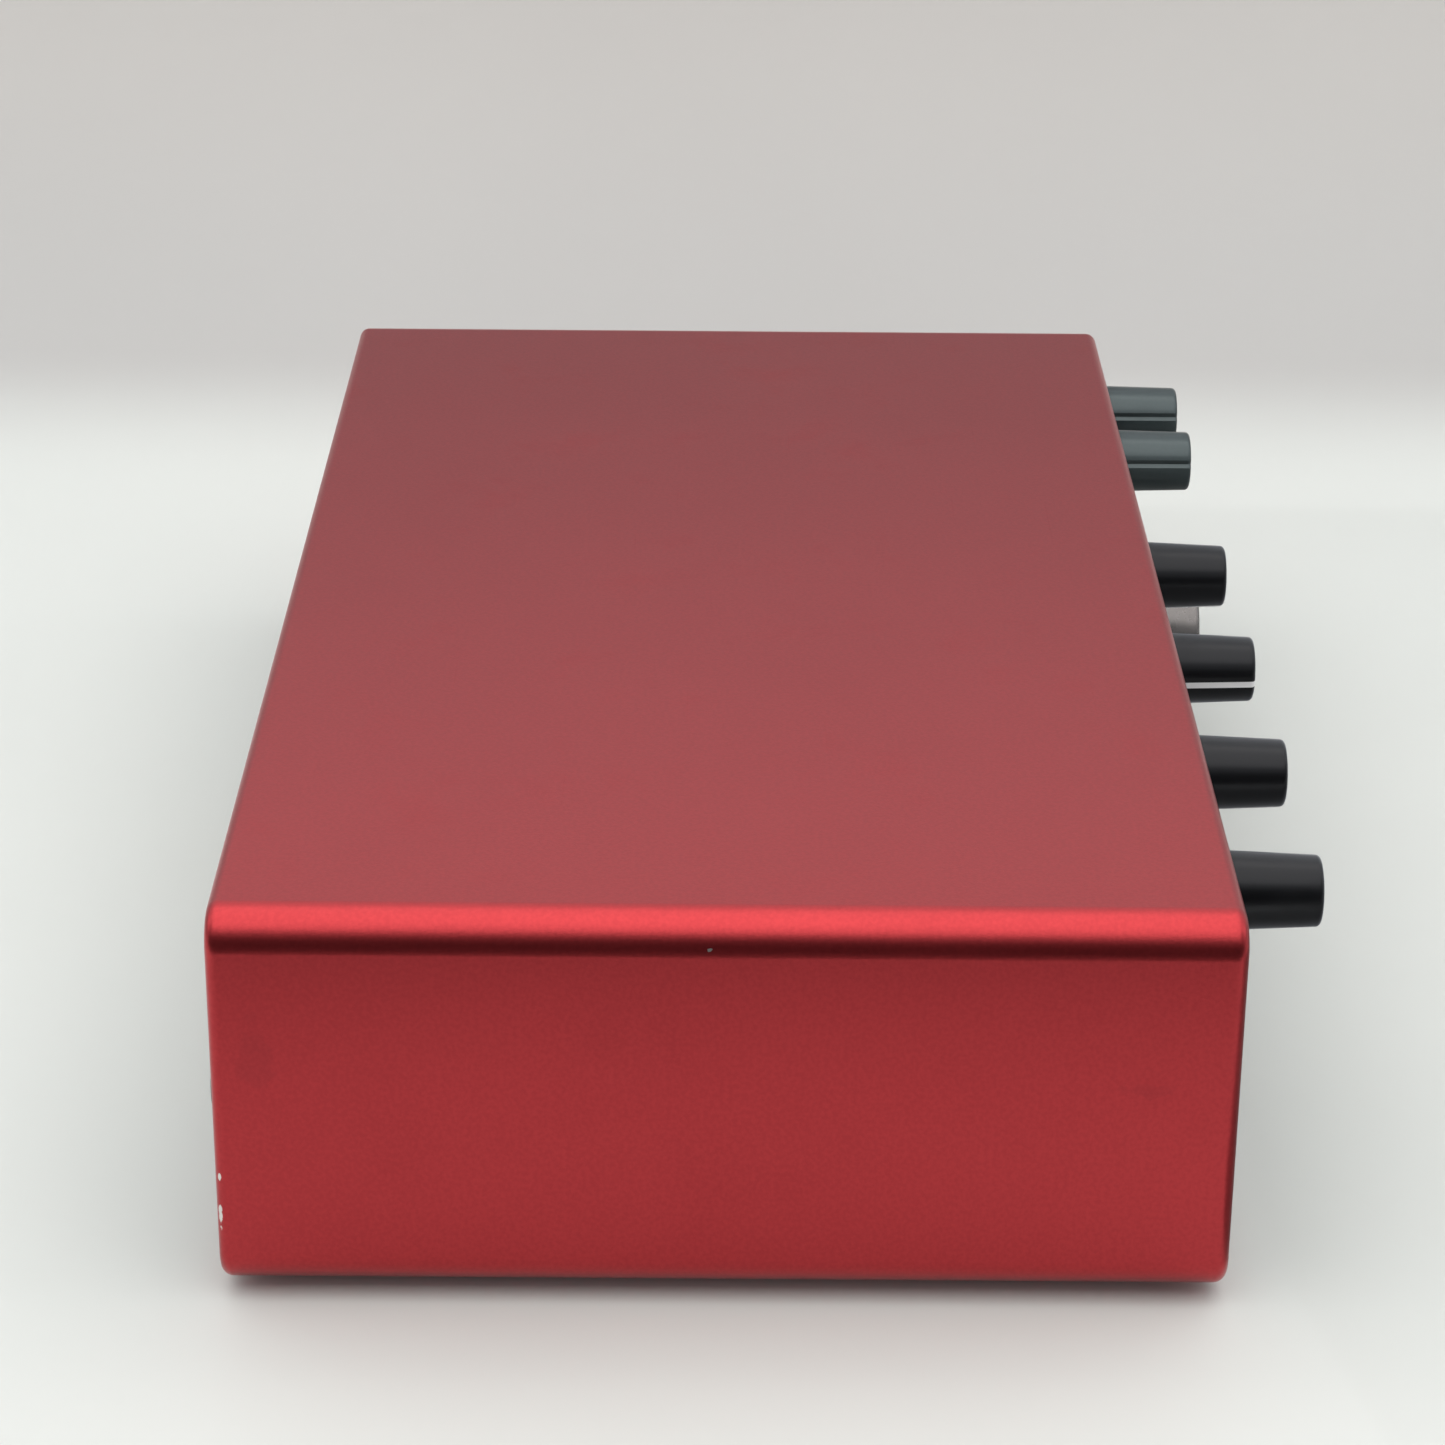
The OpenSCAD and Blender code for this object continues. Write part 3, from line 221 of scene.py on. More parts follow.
area_lamp("overhead panel", (-0.25, 0.0, 1.2), (0, 0, 0), 2.08, 1.75, 14.5, (1.0, 0.98, 0.945))
area_lamp("small panel", (-0.30, 0.0, 1.15), (0, 0, 0), 0.30, 0.70, 0.35, (1.0, 0.93, 0.80))
area_lamp("back panel", (0.33, 0.0, 0.80), (-0.2, 0, 0.35), 1.3, 0.6, 1.6, (1.0, 0.93, 0.86))
area_lamp("front panel", (0.1, -1.5, 0.9), (0, 0, 0.02), 1.0, 1.0, 3)
area_lamp("rear panel", (0.1, 1.5, 0.9), (0, 0, 0.02), 1.0, 1.0, 3)
glossy_card("flag", [(FLAG_X, -FLAG_HALF, 0), (FLAG_X, FLAG_HALF, 0), (FLAG_X, FLAG_HALF, FLAG_TOP),
                     (FLAG_X, -FLAG_HALF, FLAG_TOP)], 0.06)
glossy_card("floor card", [(x, y, CARD_Z) for x, y in CARD_OUTLINE], 0.2)


# ---- Sleeve --------------------------
# One length of extruded aluminium tube with round corners, sawn off, its mouths
# rounded over, bead-blasted and anodised red. The section of its wall is swept round
# the mouth's outline. Four countersunk holes in the floor take the board screws.
CORNER_R, CORNER_STEPS, WALL = 6.0, 24, 3.0
FRONT_ROUND, REAR_ROUND, SOFTENED = 2.0, 1.8, 0.12
# The four screw ports: radius, bore, place in the corners, distance behind each mouth
PORT_R, PORT_BORE, PORT_INSET, PORT_FRONT, PORT_REAR = 3.2, 1.4, 6.0, 3.75, 2.75
HEAD_R, SINK_DEEP = 2.9, 1.4
# Patches per metre: slow changes of tone, smudges, hairlines along and across, worn edges
SLOW_TONE, SMUDGES, HAIR_LONG, HAIR_FINE, WORN_PATCHES = 22, 55, 30, 1600, 260
RED, DEEP_RED = (0.48, 0.043, 0.050), (0.435, 0.038, 0.045)
BARE_METAL, FAINT = (0.78, 0.74, 0.72), 0.18


def new_group(name, kind, inputs, outputs):
    """A node group with named sockets; gives the group and its inputs' outputs."""
    tree = bpy.data.node_groups.new(name, kind)
    for way, sockets in (("OUTPUT", outputs), ("INPUT", inputs)):
        for label, what in sockets.items():
            tree.interface.new_socket(label, in_out=way, socket_type="NodeSocket" + what)
    return tree, add_node(tree, "NodeGroupInput").outputs


def scaled(tree, value, by, plus=0.0):
    """value times by, plus a number or another output."""
    return add_node(tree, "ShaderNodeMath", value, by, plus, operation="MULTIPLY_ADD")


# Fine grain of a blasted, moulded or painted surface, and a slow change of tone
fine_grain, given = new_group("fine grain", "ShaderNodeTree", {"Grains per metre": "Float"},
                              {"Height": "Float", "Tone": "Float", "Speckle": "Float"})
place, scale = place_on(fine_grain), given["Grains per metre"]
add_node(fine_grain, "NodeGroupOutput", Height=noise(fine_grain, place, scale, 2, 0.6),
         Tone=noise(fine_grain, place, SLOW_TONE, 3),
         Speckle=noise(fine_grain, place, scaled(fine_grain, scale, 0.45), 1))
# Faint smudges from fingers, and hairline scratches
hand_marks, given = new_group("handling marks", "ShaderNodeTree", {},
                              {"Smudge": "Float", "Scratch": "Float"})
place = place_on(hand_marks)
drawn = add_node(hand_marks, "ShaderNodeMapping", Vector=place, Rotation=(0.5, 0.35, 0.8),
                 Scale=(HAIR_LONG, HAIR_FINE, HAIR_LONG))
add_node(hand_marks, "NodeGroupOutput",
         Smudge=ranged(hand_marks, noise(hand_marks, place, SMUDGES, 5, 0.65), 0.56, 0.74),
         Scratch=ranged(hand_marks, noise(hand_marks, drawn, 1, 1), 0.74, 0.80))
# Where an edge has been rubbed: strongest on the sharpest edges, and broken up
edge_wear, given = new_group("edge wear", "ShaderNodeTree", {"Reach": "Float", "Least": "Float"},
                             {"Mask": "Float"})
rounded = add_node(edge_wear, "ShaderNodeBevel", samples=4, Radius=given["Reach"])
true = add_node(edge_wear, "ShaderNodeNewGeometry").outputs["Normal"]
same = add_node(edge_wear, "ShaderNodeVectorMath", rounded, true, operation="DOT_PRODUCT")
edge = ranged(edge_wear, same.outputs["Value"], 0.995, 0.90)
patchy = noise(edge_wear, place_on(edge_wear), WORN_PATCHES, 4)
add_node(edge_wear, "NodeGroupOutput",
         Mask=scaled(edge_wear, edge, ranged(edge_wear, patchy, given["Least"], 0.9)))


def finish_of(name, colour, second, rough, metal=0.0, grains=1500, depth=0.02, speckle=0.0,
              smudges=0.14, scratches=0.0, worn=None, reach=0.0004, least=0.45, **sockets):
    """A finish: two near tones, fine grain in its height, smudges in its gloss, worn edges.
    depth is the grain's height in millimetres."""
    made, shader, out = new_material(name, Metallic=metal, **sockets)
    tree = made.node_tree
    grain = add_node(tree, "ShaderNodeGroup", node_tree=fine_grain, Grains_per_metre=grains).outputs
    marks = add_node(tree, "ShaderNodeGroup", node_tree=hand_marks).outputs
    tone = grain["Tone"]
    if speckle:
        tone = scaled(tree, tone, 1, scaled(tree, grain["Speckle"], speckle, -0.5 * speckle))
    shown = blend(tree, tone, colour, second)
    gloss = scaled(tree, marks["Smudge"], smudges, rough)
    if scratches:
        gloss = scaled(tree, marks["Scratch"], scratches, gloss)
    if worn:
        edges = add_node(tree, "ShaderNodeGroup", node_tree=edge_wear, Reach=reach, Least=least)
        shown = blend(tree, edges, shown, worn)
    bump = add_node(tree, "ShaderNodeBump", Strength=1, Distance=depth * mm, Height=grain["Height"])
    fill(shader, Base_Color=shown, Roughness=gloss, Normal=bump)
    return made


def lay_over(finish, mask, colour):
    """Lays one more colour over a finish, where the mask is 1."""
    tree = finish.node_tree
    shown = tree.nodes["Principled BSDF"].inputs["Base Color"]
    tree.links.new(blend(tree, mask, shown.links[0].from_socket, colour), shown)


def ragged_mark(tree, centre, size, grain):
    """A mask of one ragged mark: 1 at its centre, 0 outside its size, in millimetres."""
    place = place_on(tree)
    move = add_node(tree, "ShaderNodeMapping", vector_type="TEXTURE", Vector=place,
                    Location=[c * mm for c in centre], Scale=[c * mm for c in size])
    far = add_node(tree, "ShaderNodeVectorMath", move, operation="LENGTH").outputs["Value"]
    return ranged(tree, scaled(tree, noise(tree, place, grain, 4), 2.2, far), 2.05, 1.75)


def box_mm(node):
    """A node's lowest and highest corner in millimetres."""
    lo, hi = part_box(node)
    return lo / mm, hi / mm


def settle(obj):
    """Turns what a piece's modifiers make into its own plain mesh."""
    seen = obj.evaluated_get(bpy.context.evaluated_depsgraph_get())
    plain = bpy.data.meshes.new_from_object(seen)
    obj.modifiers.clear()
    obj.data = plain
    return obj


def fix(obj, body, slot, *nodes):
    """Fixes a finished piece to its body and hides the nodes it stands for; its slot is not used."""
    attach(obj, body)
    if nodes:
        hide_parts(*nodes)


def new_tree(name, sockets):
    """A Geometry Nodes tree with named inputs for its sizes."""
    shape = {"Geometry": "Geometry"}
    return new_group(name, "GeometryNodeTree", {**shape, **sockets}, shape)


def end_tree(tree, geometry, given):
    """Ends a tree: instances made real, then its finish."""
    real = add_node(tree, "GeometryNodeRealizeInstances", Geometry=geometry)
    painted = add_node(tree, "GeometryNodeSetMaterial", Geometry=real, Material=given["Finish"])
    add_node(tree, "NodeGroupOutput", Geometry=painted)


def run_tree(obj, tree, **values):
    """Runs a tree on an object with its named inputs filled in, and keeps the plain mesh."""
    modifier = obj.modifiers.new(tree.name, "NODES")
    modifier.node_group = tree
    names = {item.name: item.identifier for item in tree.interface.items_tree
             if item.in_out == "INPUT"}
    for label, value in values.items():
        modifier[names[label.replace("_", " ")]] = value
    return settle(obj)


def ring_faces(made, low, high):
    """Joins two rings of points, or a ring and a point, with faces."""
    for i in range(max(len(low), len(high))):
        j = i + 1
        corners = []
        for c in (low[i % len(low)], low[j % len(low)], high[j % len(high)], high[i % len(high)]):
            if c not in corners:
                corners.append(c)
        made.faces.new(corners)


def turned(profile, steps=48):
    """A shape turned about Z from (radius, height) points in millimetres."""
    made = bmesh.new()
    rings = []
    for r, h in profile:
        spots = arc(0, 0, r, [360 * i / steps for i in range(steps if r > 1e-6 else 1)])
        rings.append([made.verts.new((x, y, h)) for x, y in spots])
    for low, high in zip(rings, rings[1:]):
        ring_faces(made, low, high)
    if len(rings[0]) > 1:
        ring_faces(made, rings[-1], rings[0])
    bmesh.ops.recalc_face_normals(made, faces=made.faces)
    return made


def moved(shape, by, angle=0, axis="Z"):
    """A shape turned by so many degrees, then moved by so many millimetres."""
    place = Matrix.Translation(by) @ turn_by(angle, axis)
    bmesh.ops.transform(shape, matrix=place, verts=shape.verts)
    return shape


def together(*shapes):
    """Several closed shapes in one."""
    whole = bmesh.new()
    for shape in shapes:
        kept = bpy.data.meshes.new("kept")
        shape.to_mesh(kept)
        shape.free()
        whole.from_mesh(kept)
        bpy.data.meshes.remove(kept)
    return whole


def solid(shape, finish, sharp=35, name="part"):
    """A shape in millimetres made an object in metres, smooth except at its sharper edges."""
    mesh = bpy.data.meshes.new(name)
    bmesh.ops.scale(shape, vec=(mm, mm, mm), verts=shape.verts)
    shape.to_mesh(mesh)
    shape.free()
    mesh.materials.append(finish)
    mesh.shade_smooth()
    mesh.set_sharp_from_angle(angle=math.radians(sharp))
    return add_object(name, mesh)


def cut(obj, *shapes, how="DIFFERENCE"):
    """Takes shapes out of an object, or joins them to it."""
    tools = [solid(shape, obj.data.materials[0]) for shape in shapes]
    for tool in tools:
        cutter = obj.modifiers.new("cut", "BOOLEAN")
        cutter.operation = how
        cutter.solver = "EXACT"
        cutter.object = tool
    settle(obj)
    for tool in tools:
        bpy.data.objects.remove(tool)
    obj.data.shade_smooth()
    obj.data.set_sharp_from_angle(angle=math.radians(30))
    return obj


red_anodised = finish_of(
    "red anodised aluminium", RED, DEEP_RED, 0.34, metal=1.0, grains=3200, depth=0.018, speckle=2.8,
    smudges=0.05, scratches=0.03, worn=(0.50, 0.16, 0.16), reach=0.0005, least=0.5, Coat_Weight=0.5,
    Coat_IOR=1.25, Coat_Roughness=0.35)
lo, hi = box_mm("sleeve")
# Bare chips on the rear edge of the left end, a nick on its top edge, two faint scuffs
for centre, size, grain, colour, strength in (
        ((lo.x + 0.3, hi.y - 0.75, lo.z + 19.3), (1.2, 0.25, 0.85), 900, BARE_METAL, 1),
        ((lo.x + 0.3, hi.y - 0.58, lo.z + 12.7), (1.2, 0.34, 2.2), 900, BARE_METAL, 1),
        ((lo.x + 0.9, 6.4, hi.z - 4.65), (1.5, 0.55, 0.42), 1500, BARE_METAL, 1),
        ((lo.x, hi.y - 6.5, hi.z - 22.0), (1.5, 3.2, 6.0), 300, (0.24, 0.030, 0.036), FAINT),
        ((lo.x, lo.y + 14.2, hi.z - 27.0), (1.5, 4.5, 1.3), 420, (0.25, 0.030, 0.036), FAINT)):
    tree = red_anodised.node_tree
    lay_over(red_anodised, scaled(tree, ragged_mark(tree, centre, size, grain), strength), colour)

tree, given = new_tree("extruded sleeve", {
    "Section": "Object", "Width": "Float", "Height": "Float", "Inner radius": "Float",
    "Corner steps": "Int", "Middle": "Vector", "Finish": "Material"})
outline = add_node(tree, "GeometryNodeCurvePrimitiveQuadrilateral", Width=given["Width"],
                   Height=given["Height"])
rounded = add_node(tree, "GeometryNodeFilletCurve", mode="POLY", Curve=outline,
                   Radius=given["Inner radius"], Count=given["Corner steps"])
flat = add_node(tree, "GeometryNodeSetCurveNormal", mode="Z_UP", Curve=rounded)
wall = add_node(tree, "GeometryNodeObjectInfo", Object=given["Section"]).outputs["Geometry"]
swept = add_node(tree, "GeometryNodeCurveToMesh", Curve=flat,
                 Profile_Curve=add_node(tree, "GeometryNodeMeshToCurve", Mesh=wall))
stood = add_node(tree, "GeometryNodeTransform", Geometry=swept, Translation=given["Middle"],
                 Rotation=(math.radians(90), 0, 0))
end_tree(tree, stood, given)

# The wall's section: inner face at 0, front mouth at 0, outer edges of both mouths rounded.
# The sweep stands up by a quarter turn, so the section's +Y end becomes the rear mouth.
deep = hi.y - lo.y
section = [(0, SOFTENED), (SOFTENED, 0)]
section += arc(WALL - FRONT_ROUND, FRONT_ROUND, FRONT_ROUND, [i * 11.25 for i in range(-8, 1)])
section += arc(WALL - REAR_ROUND, deep - REAR_ROUND, REAR_ROUND, [i * 11.25 for i in range(9)])
section += [(SOFTENED, deep), (0, deep - SOFTENED)]
count = len(section)
wall = plain_mesh("wall section", [(x * mm, (y - deep / 2) * mm, 0) for x, y in section],
                  [(i, (i + 1) % count) for i in range(count)])
sleeve = run_tree(plain_mesh("extruded_sleeve", ()), tree, Section=wall,
                  Width=(hi.x - lo.x - 2 * WALL) * mm, Height=(hi.z - lo.z - 2 * WALL) * mm,
                  Inner_radius=(CORNER_R - WALL) * mm, Corner_steps=CORNER_STEPS,
                  Middle=(lo + hi) / 2 * mm, Finish=red_anodised)
bpy.data.objects.remove(wall)
screw_lo, screw_hi = box_mm("floor_screws")
floor_screw_spots = [(x, y, screw_lo.z) for x in (screw_lo.x + HEAD_R, screw_hi.x - HEAD_R)
                     for y in (screw_lo.y + HEAD_R, screw_hi.y - HEAD_R)]
sink = [(0, -1), (HEAD_R + 1.05, -1), (HEAD_R + 0.05, 0), (1.55, SINK_DEEP), (1.55, 9), (0, 9)]
cut(sleeve, *[moved(turned(sink, 32), (x, y, lo.z)) for x, y, z in floor_screw_spots])
weights = sleeve.modifiers.new("flats stay flat", "WEIGHTED_NORMAL")
weights.keep_sharp = True
fix(settle(sleeve), "case", "red_anodised", "sleeve")
# The four screw ports stand in the corners between the two panels
y0, y1 = lo.y + PORT_FRONT, hi.y - PORT_REAR
ports = [moved(turned([(PORT_BORE, y0), (PORT_R, y0), (PORT_R, y1), (PORT_BORE, y1)], 32),
               (x, 0, z), -90, "X")
         for x in (lo.x + PORT_INSET, hi.x - PORT_INSET)
         for z in (lo.z + PORT_INSET, hi.z - PORT_INSET)]
fix(solid(together(*ports), red_anodised, name="screw_ports"), "case", "red_anodised")


# ---- Feet ----------------------------
# Four moulded rubber feet glued into the sleeve's underside, each with a rounded
# lower edge, a shallow ring and a dimple where it was gated.
FOOT_R, FOOT_ROUND, DIMPLE_R = 7.0, 0.55, 1.4
FORWARD, REARWARD, UPWARD = (math.radians(90), 0, 0), (math.radians(-90), 0, 0), (0, 0, 0)
rubber = finish_of(
    "foot rubber", (0.016, 0.016, 0.017), (0.026, 0.025, 0.025), 0.72, grains=1400, depth=0.03,
    smudges=0.12, worn=(0.06, 0.058, 0.055))

# Sets one part at every point of the carrying mesh
parts_at_points, given = new_tree("parts at points", {
    "Part": "Object", "Turn": "Vector", "Finish": "Material"})
part = add_node(parts_at_points, "GeometryNodeObjectInfo", Object=given["Part"])
set_out = add_node(parts_at_points, "GeometryNodeInstanceOnPoints", Points=given["Geometry"],
                   Instance=part.outputs["Geometry"], Rotation=given["Turn"])
end_tree(parts_at_points, set_out, given)


def set_at(name, part, spots, finish, turn, slot, *nodes, sharp=None):
    """Sets a copy of a shape or object at every spot, in millimetres, as one piece of the case."""
    if isinstance(part, bmesh.types.BMesh):
        part = solid(part, finish)
    obj = plain_mesh(name, [[c * mm for c in spot] for spot in spots])
    run_tree(obj, parts_at_points, Part=part, Turn=turn, Finish=finish)
    bpy.data.objects.remove(part)
    if sharp:
        obj.data.set_sharp_from_angle(angle=math.radians(sharp))
    fix(obj, "case", slot, *nodes)


foot_nodes = ["foot_front_left", "foot_front_right", "foot_rear_left", "foot_rear_right"]
foot_boxes = [box_mm(node) for node in foot_nodes]
foot_h = foot_boxes[0][1].z
profile = [(0, 0.35), (1.0, 0.35), (DIMPLE_R, 0), (4.4, 0), (4.6, 0.25), (5.2, 0.25), (5.4, 0)]
profile += arc(FOOT_R - FOOT_ROUND, FOOT_ROUND, FOOT_ROUND, range(-90, 1, 15))
profile += [(FOOT_R, foot_h), (0, foot_h)]
spots = [((lo.x + hi.x) / 2, (lo.y + hi.y) / 2, 0) for lo, hi in foot_boxes]
set_at("rubber_feet", turned(profile), spots, rubber, UPWARD, "foot_rubber", *foot_nodes)


# ---- Knobs ---------------------------
# Moulded knobs pushed on the shafts. The four gain knobs are soft-touch black with
# an inlaid white line. The two headphone knobs and the larger monitor knob are
# painted gunmetal and gray, with a V groove for a pointer that runs out over the tip.
TIP_ROUND, BORE_R, BORE_DEEP = 0.8, 3.0, 11.0
INLAY_W, INLAY_DEEP = 1.1, 0.06
GROOVE_W, GROOVE_DEEP = 1.5, 0.5
SIDE_STEPS, ROUND_STEPS = 6, 92
soft_black = finish_of(
    "soft-touch black", (0.001, 0.001, 0.0016), (0.0022, 0.0022, 0.003), 0.29, grains=2600, depth=0.008,
    smudges=0.22, worn=(0.03, 0.03, 0.032), Specular_IOR_Level=0.36, Sheen_Weight=0.6,
    Sheen_Roughness=0.35, Sheen_Tint=(0.82, 0.87, 1.0), Specular_Tint=(0.93, 0.94, 1.0))
gunmetal = finish_of(
    "gunmetal paint", (0.046, 0.064, 0.068), (0.066, 0.085, 0.090), 0.28, grains=3000, depth=0.007,
    speckle=0.5, smudges=0.18, metal=0.55, worn=(0.16, 0.17, 0.17), least=0.6, Coat_Weight=0.25,
    Coat_Roughness=0.3)
satin_gray = finish_of(
    "satin gray paint", (0.15, 0.139, 0.137), (0.21, 0.195, 0.193), 0.27, grains=3000, depth=0.008,
    speckle=0.8, smudges=0.10, metal=0.75, worn=0.3, least=0.6, Coat_Weight=0.3, Coat_Roughness=0.3)
white_inlay = finish_of(
    "white inlay", (0.86, 0.84, 0.86), (0.78, 0.77, 0.80), 0.45, grains=1800, depth=0.006, smudges=0.08)
axle = {j["name"]: Vector(j["pos_m"]) / mm for j in frame["joints"] if j["type"] == "hinge"}


def knob(name, part, base_d, tip_d, rest, paint, grooved):
    """One knob with its pointer at rest, clockwise from twelve as seen from the front."""
    lo, hi = box_mm("knob_" + part)
    x, z = axle[part + "_turn"].x, axle[part + "_turn"].z
    long = hi.y - lo.y
    base_r, tip_r = base_d / 2, tip_d / 2
    profile = [(0, BORE_DEEP), (BORE_R, BORE_DEEP), (BORE_R, 0), (base_r - 0.25, 0),
               (base_r - 0.07, 0.07), (base_r, 0.25)]
    marked = len(profile) - 1
    profile += [(base_r + (tip_r - base_r) * i / SIDE_STEPS, (long - TIP_ROUND) * i / SIDE_STEPS)
                for i in range(1, SIDE_STEPS)]
    profile += arc(tip_r - TIP_ROUND, long - TIP_ROUND, TIP_ROUND, range(0, 91, 15))
    side_end = len(profile)
    profile += [(tip_r * out, long - down) for out, down in (
        (0.74, 0.04), (0.55, 0.10), (0.36, 0.15), (0.16, 0.17), (0, 0.18))]
    line_end = side_end + 2
    half = (GROOVE_W if grooved else INLAY_W) / 2
    cuts = (0, 0.5, 1, 0.5, 0) if grooved else (0, 1, 1, 1, 0)
    made = bmesh.new()
    rings = []
    for k, (r, h) in enumerate(profile):
        if r < 1e-6:
            rings.append([made.verts.new((0, 0, h))])
            continue
        # The pointer keeps its width as the knob tapers, except near the middle of the tip
        edge = math.asin(min(half / r, 0.9))
        turns = [-edge, -edge / 2, 0, edge / 2, edge]
        turns += [edge + (2 * math.pi - 2 * edge) * i / ROUND_STEPS for i in range(1, ROUND_STEPS)]
        ring = []
        for i, a in enumerate(turns):
            down = 0
            if marked <= k <= line_end and i < len(cuts):
                down = cuts[i] * (GROOVE_DEEP if grooved else INLAY_DEEP)
            sunk, lift = (down, 0) if k < side_end - 1 else (0, down)
            ring.append(made.verts.new(((r - sunk) * math.cos(a), (r - sunk) * math.sin(a), h - lift)))
        rings.append(ring)
    for k, (low, high) in enumerate(zip(rings, rings[1:])):
        first = len(made.faces)
        ring_faces(made, low, high)
        made.faces.ensure_lookup_table()
        if marked <= k < line_end and not grooved:
            for i in range(len(cuts) - 1):
                made.faces[first + i].material_index = 1
    bmesh.ops.recalc_face_normals(made, faces=made.faces)
    # Stood out of the panel with its pointer at twelve, then turned to rest
    stand = Matrix(((0, 1, 0, 0), (0, 0, -1, hi.y), (1, 0, 0, 0), (0, 0, 0, 1)))
    bmesh.ops.transform(made, matrix=stand, verts=made.verts)
    obj = solid(moved(made, (x, 0, z), rest, "Y"), paint, 28 if grooved else 40, name)
    obj.data.materials.append(white_inlay)
    fix(obj, part + "_control", "gray_knob" if grooved else "black_knob", "knob_" + part)


for i, rest in enumerate((-150, -150, -96.4, -150)):
    knob(f"gain_knob_{i + 1}", f"gain_{i + 1}", 12.3, 11, rest, soft_black, False)
for i, rest in enumerate((-76.5, -72.6)):
    knob(f"headphone_knob_{i + 1}", f"phones_{i + 1}", 12, 11.3, rest, gunmetal, True)
knob("monitor_knob", "monitor", 20.6, 20, -150, satin_gray, True)


# ---- Front panel ---------------------
# A 2.5 mm aluminium panel, powder-coated black, with a hole for everything on it.
# Dial marks, dial numbers and channel numbers are printed on it in pale gray.
INK_T, MARK_W = 0.03, 0.35
FIRST_MARK, SWEEP = math.radians(-150), math.radians(300)
CHANNEL_Z, CHANNEL_HIGH, DIAL_HIGH = 34.5, 3.4, 1.9
black_coat = finish_of(
    "black powder coat", (0.009, 0.009, 0.010), (0.014, 0.014, 0.015), 0.46, grains=1500, depth=0.035,
    speckle=0.5, smudges=0.10, scratches=0.05, worn=0.05, Specular_IOR_Level=0.34)
ink = finish_of(
    "pale gray ink", (0.62, 0.62, 0.61), (0.54, 0.54, 0.53), 0.5, grains=2500, depth=0.004,
    smudges=0.06)


def coat(finish, *nodes):
    """Gives its finish to a CAD node whose shape is kept."""
    for node in nodes:
        for slot in frame["nodes"][node].material_slots:
            slot.material = finish


coat(black_coat, "front_panel")
ink_y = box_mm("front_panel")[0].y - INK_T / 2

# A ring of short marks round each point of the carrying mesh
tree, given = new_tree("dial marks", {
    "Marks": "Int", "First angle": "Float", "Sweep": "Float", "Radius": "Float",
    "Long": "Float", "Wide": "Float", "Thick": "Float", "Finish": "Material"})
spread = add_node(tree, "GeometryNodeMeshLine", Count=given["Marks"], Offset=(0, 0, 0))
gaps = add_node(tree, "ShaderNodeMath", given["Marks"], 1, operation="SUBTRACT")
number = add_node(tree, "GeometryNodeInputIndex")
share = add_node(tree, "ShaderNodeMath", number, gaps, operation="DIVIDE")
swung = add_node(tree, "ShaderNodeCombineXYZ",
                 Y=scaled(tree, share, given["Sweep"], given["First angle"]))
size = add_node(tree, "ShaderNodeCombineXYZ", given["Wide"], given["Thick"], given["Long"])
lifted = add_node(tree, "GeometryNodeTransform", Geometry=add_node(tree, "GeometryNodeMeshCube", size),
                  Translation=add_node(tree, "ShaderNodeCombineXYZ", Z=given["Radius"]))
ring = add_node(tree, "GeometryNodeInstanceOnPoints", Points=spread, Instance=lifted, Rotation=swung)
rings = add_node(tree, "GeometryNodeInstanceOnPoints", Points=given["Geometry"], Instance=ring)
end_tree(tree, rings, given)

small_dials = [axle[f"gain_{i}_turn"] for i in (1, 2, 3, 4)]
small_dials += [axle[f"phones_{i}_turn"] for i in (1, 2)]
large_dial = axle["monitor_turn"]
for name, dials, count, radius, long in (("small_dial_marks", small_dials, 11, 8.0, 1.1),
                                         ("large_dial_marks", [large_dial], 21, 12.9, 1.4)):
    marks = plain_mesh(name, [(d.x * mm, ink_y * mm, d.z * mm) for d in dials])
    run_tree(marks, tree, Marks=count, First_angle=FIRST_MARK, Sweep=SWEEP, Radius=radius * mm,
             Long=long * mm, Wide=MARK_W * mm, Thick=INK_T * mm, Finish=ink)
    fix(marks, "case", "light_pipe")


def lettered(text, height):
    """A word as a flat mesh, in millimetres, standing up with its face to the front."""
    font = bpy.data.curves.new("word", "FONT")
    font.body = text
    font.align_x, font.align_y = "CENTER", "CENTER"
    font.size = height
    font.extrude = INK_T / 2
    font.resolution_u = 3
    word = add_object("word", font)
    flat = bpy.data.meshes.new_from_object(
        word.evaluated_get(bpy.context.evaluated_depsgraph_get()))
    flat.transform(turn_by(90, "X"))
    bpy.data.objects.remove(word)
    return flat


def printed(name, words, height, body="case"):
    """Printing in ink as one piece; each word comes with the matrix that stands it in place."""
    made = bmesh.new()
    for text, place in words:
        flat = lettered(text, height)
        flat.transform(place)
        made.from_mesh(flat)
    bmesh.ops.remove_doubles(made, verts=made.verts, dist=0.002)
    bmesh.ops.recalc_face_normals(made, faces=made.faces)
    fix(solid(made, ink, name=name), body, "light_pipe")


def at(*spot):
    """A matrix that moves by millimetres."""
    return Matrix.Translation(spot)


printed("channel_numbers", [(str(i % 4 + 1), at(d.x + (14.2 if i < 4 else 8.8), ink_y, CHANNEL_Z))
                            for i, d in enumerate(small_dials)], CHANNEL_HIGH)
words = [(text, at(d.x + across, ink_y, d.z - 9.3)) for d in small_dials
         for text, across in (("0", -5.3), ("10", 5.5))]
words += [(text, at(large_dial.x + across, ink_y, large_dial.z - 13.8))
          for text, across in (("0", -8.3), ("10", 8.5))]
printed("dial_numbers", words, DIAL_HIGH)


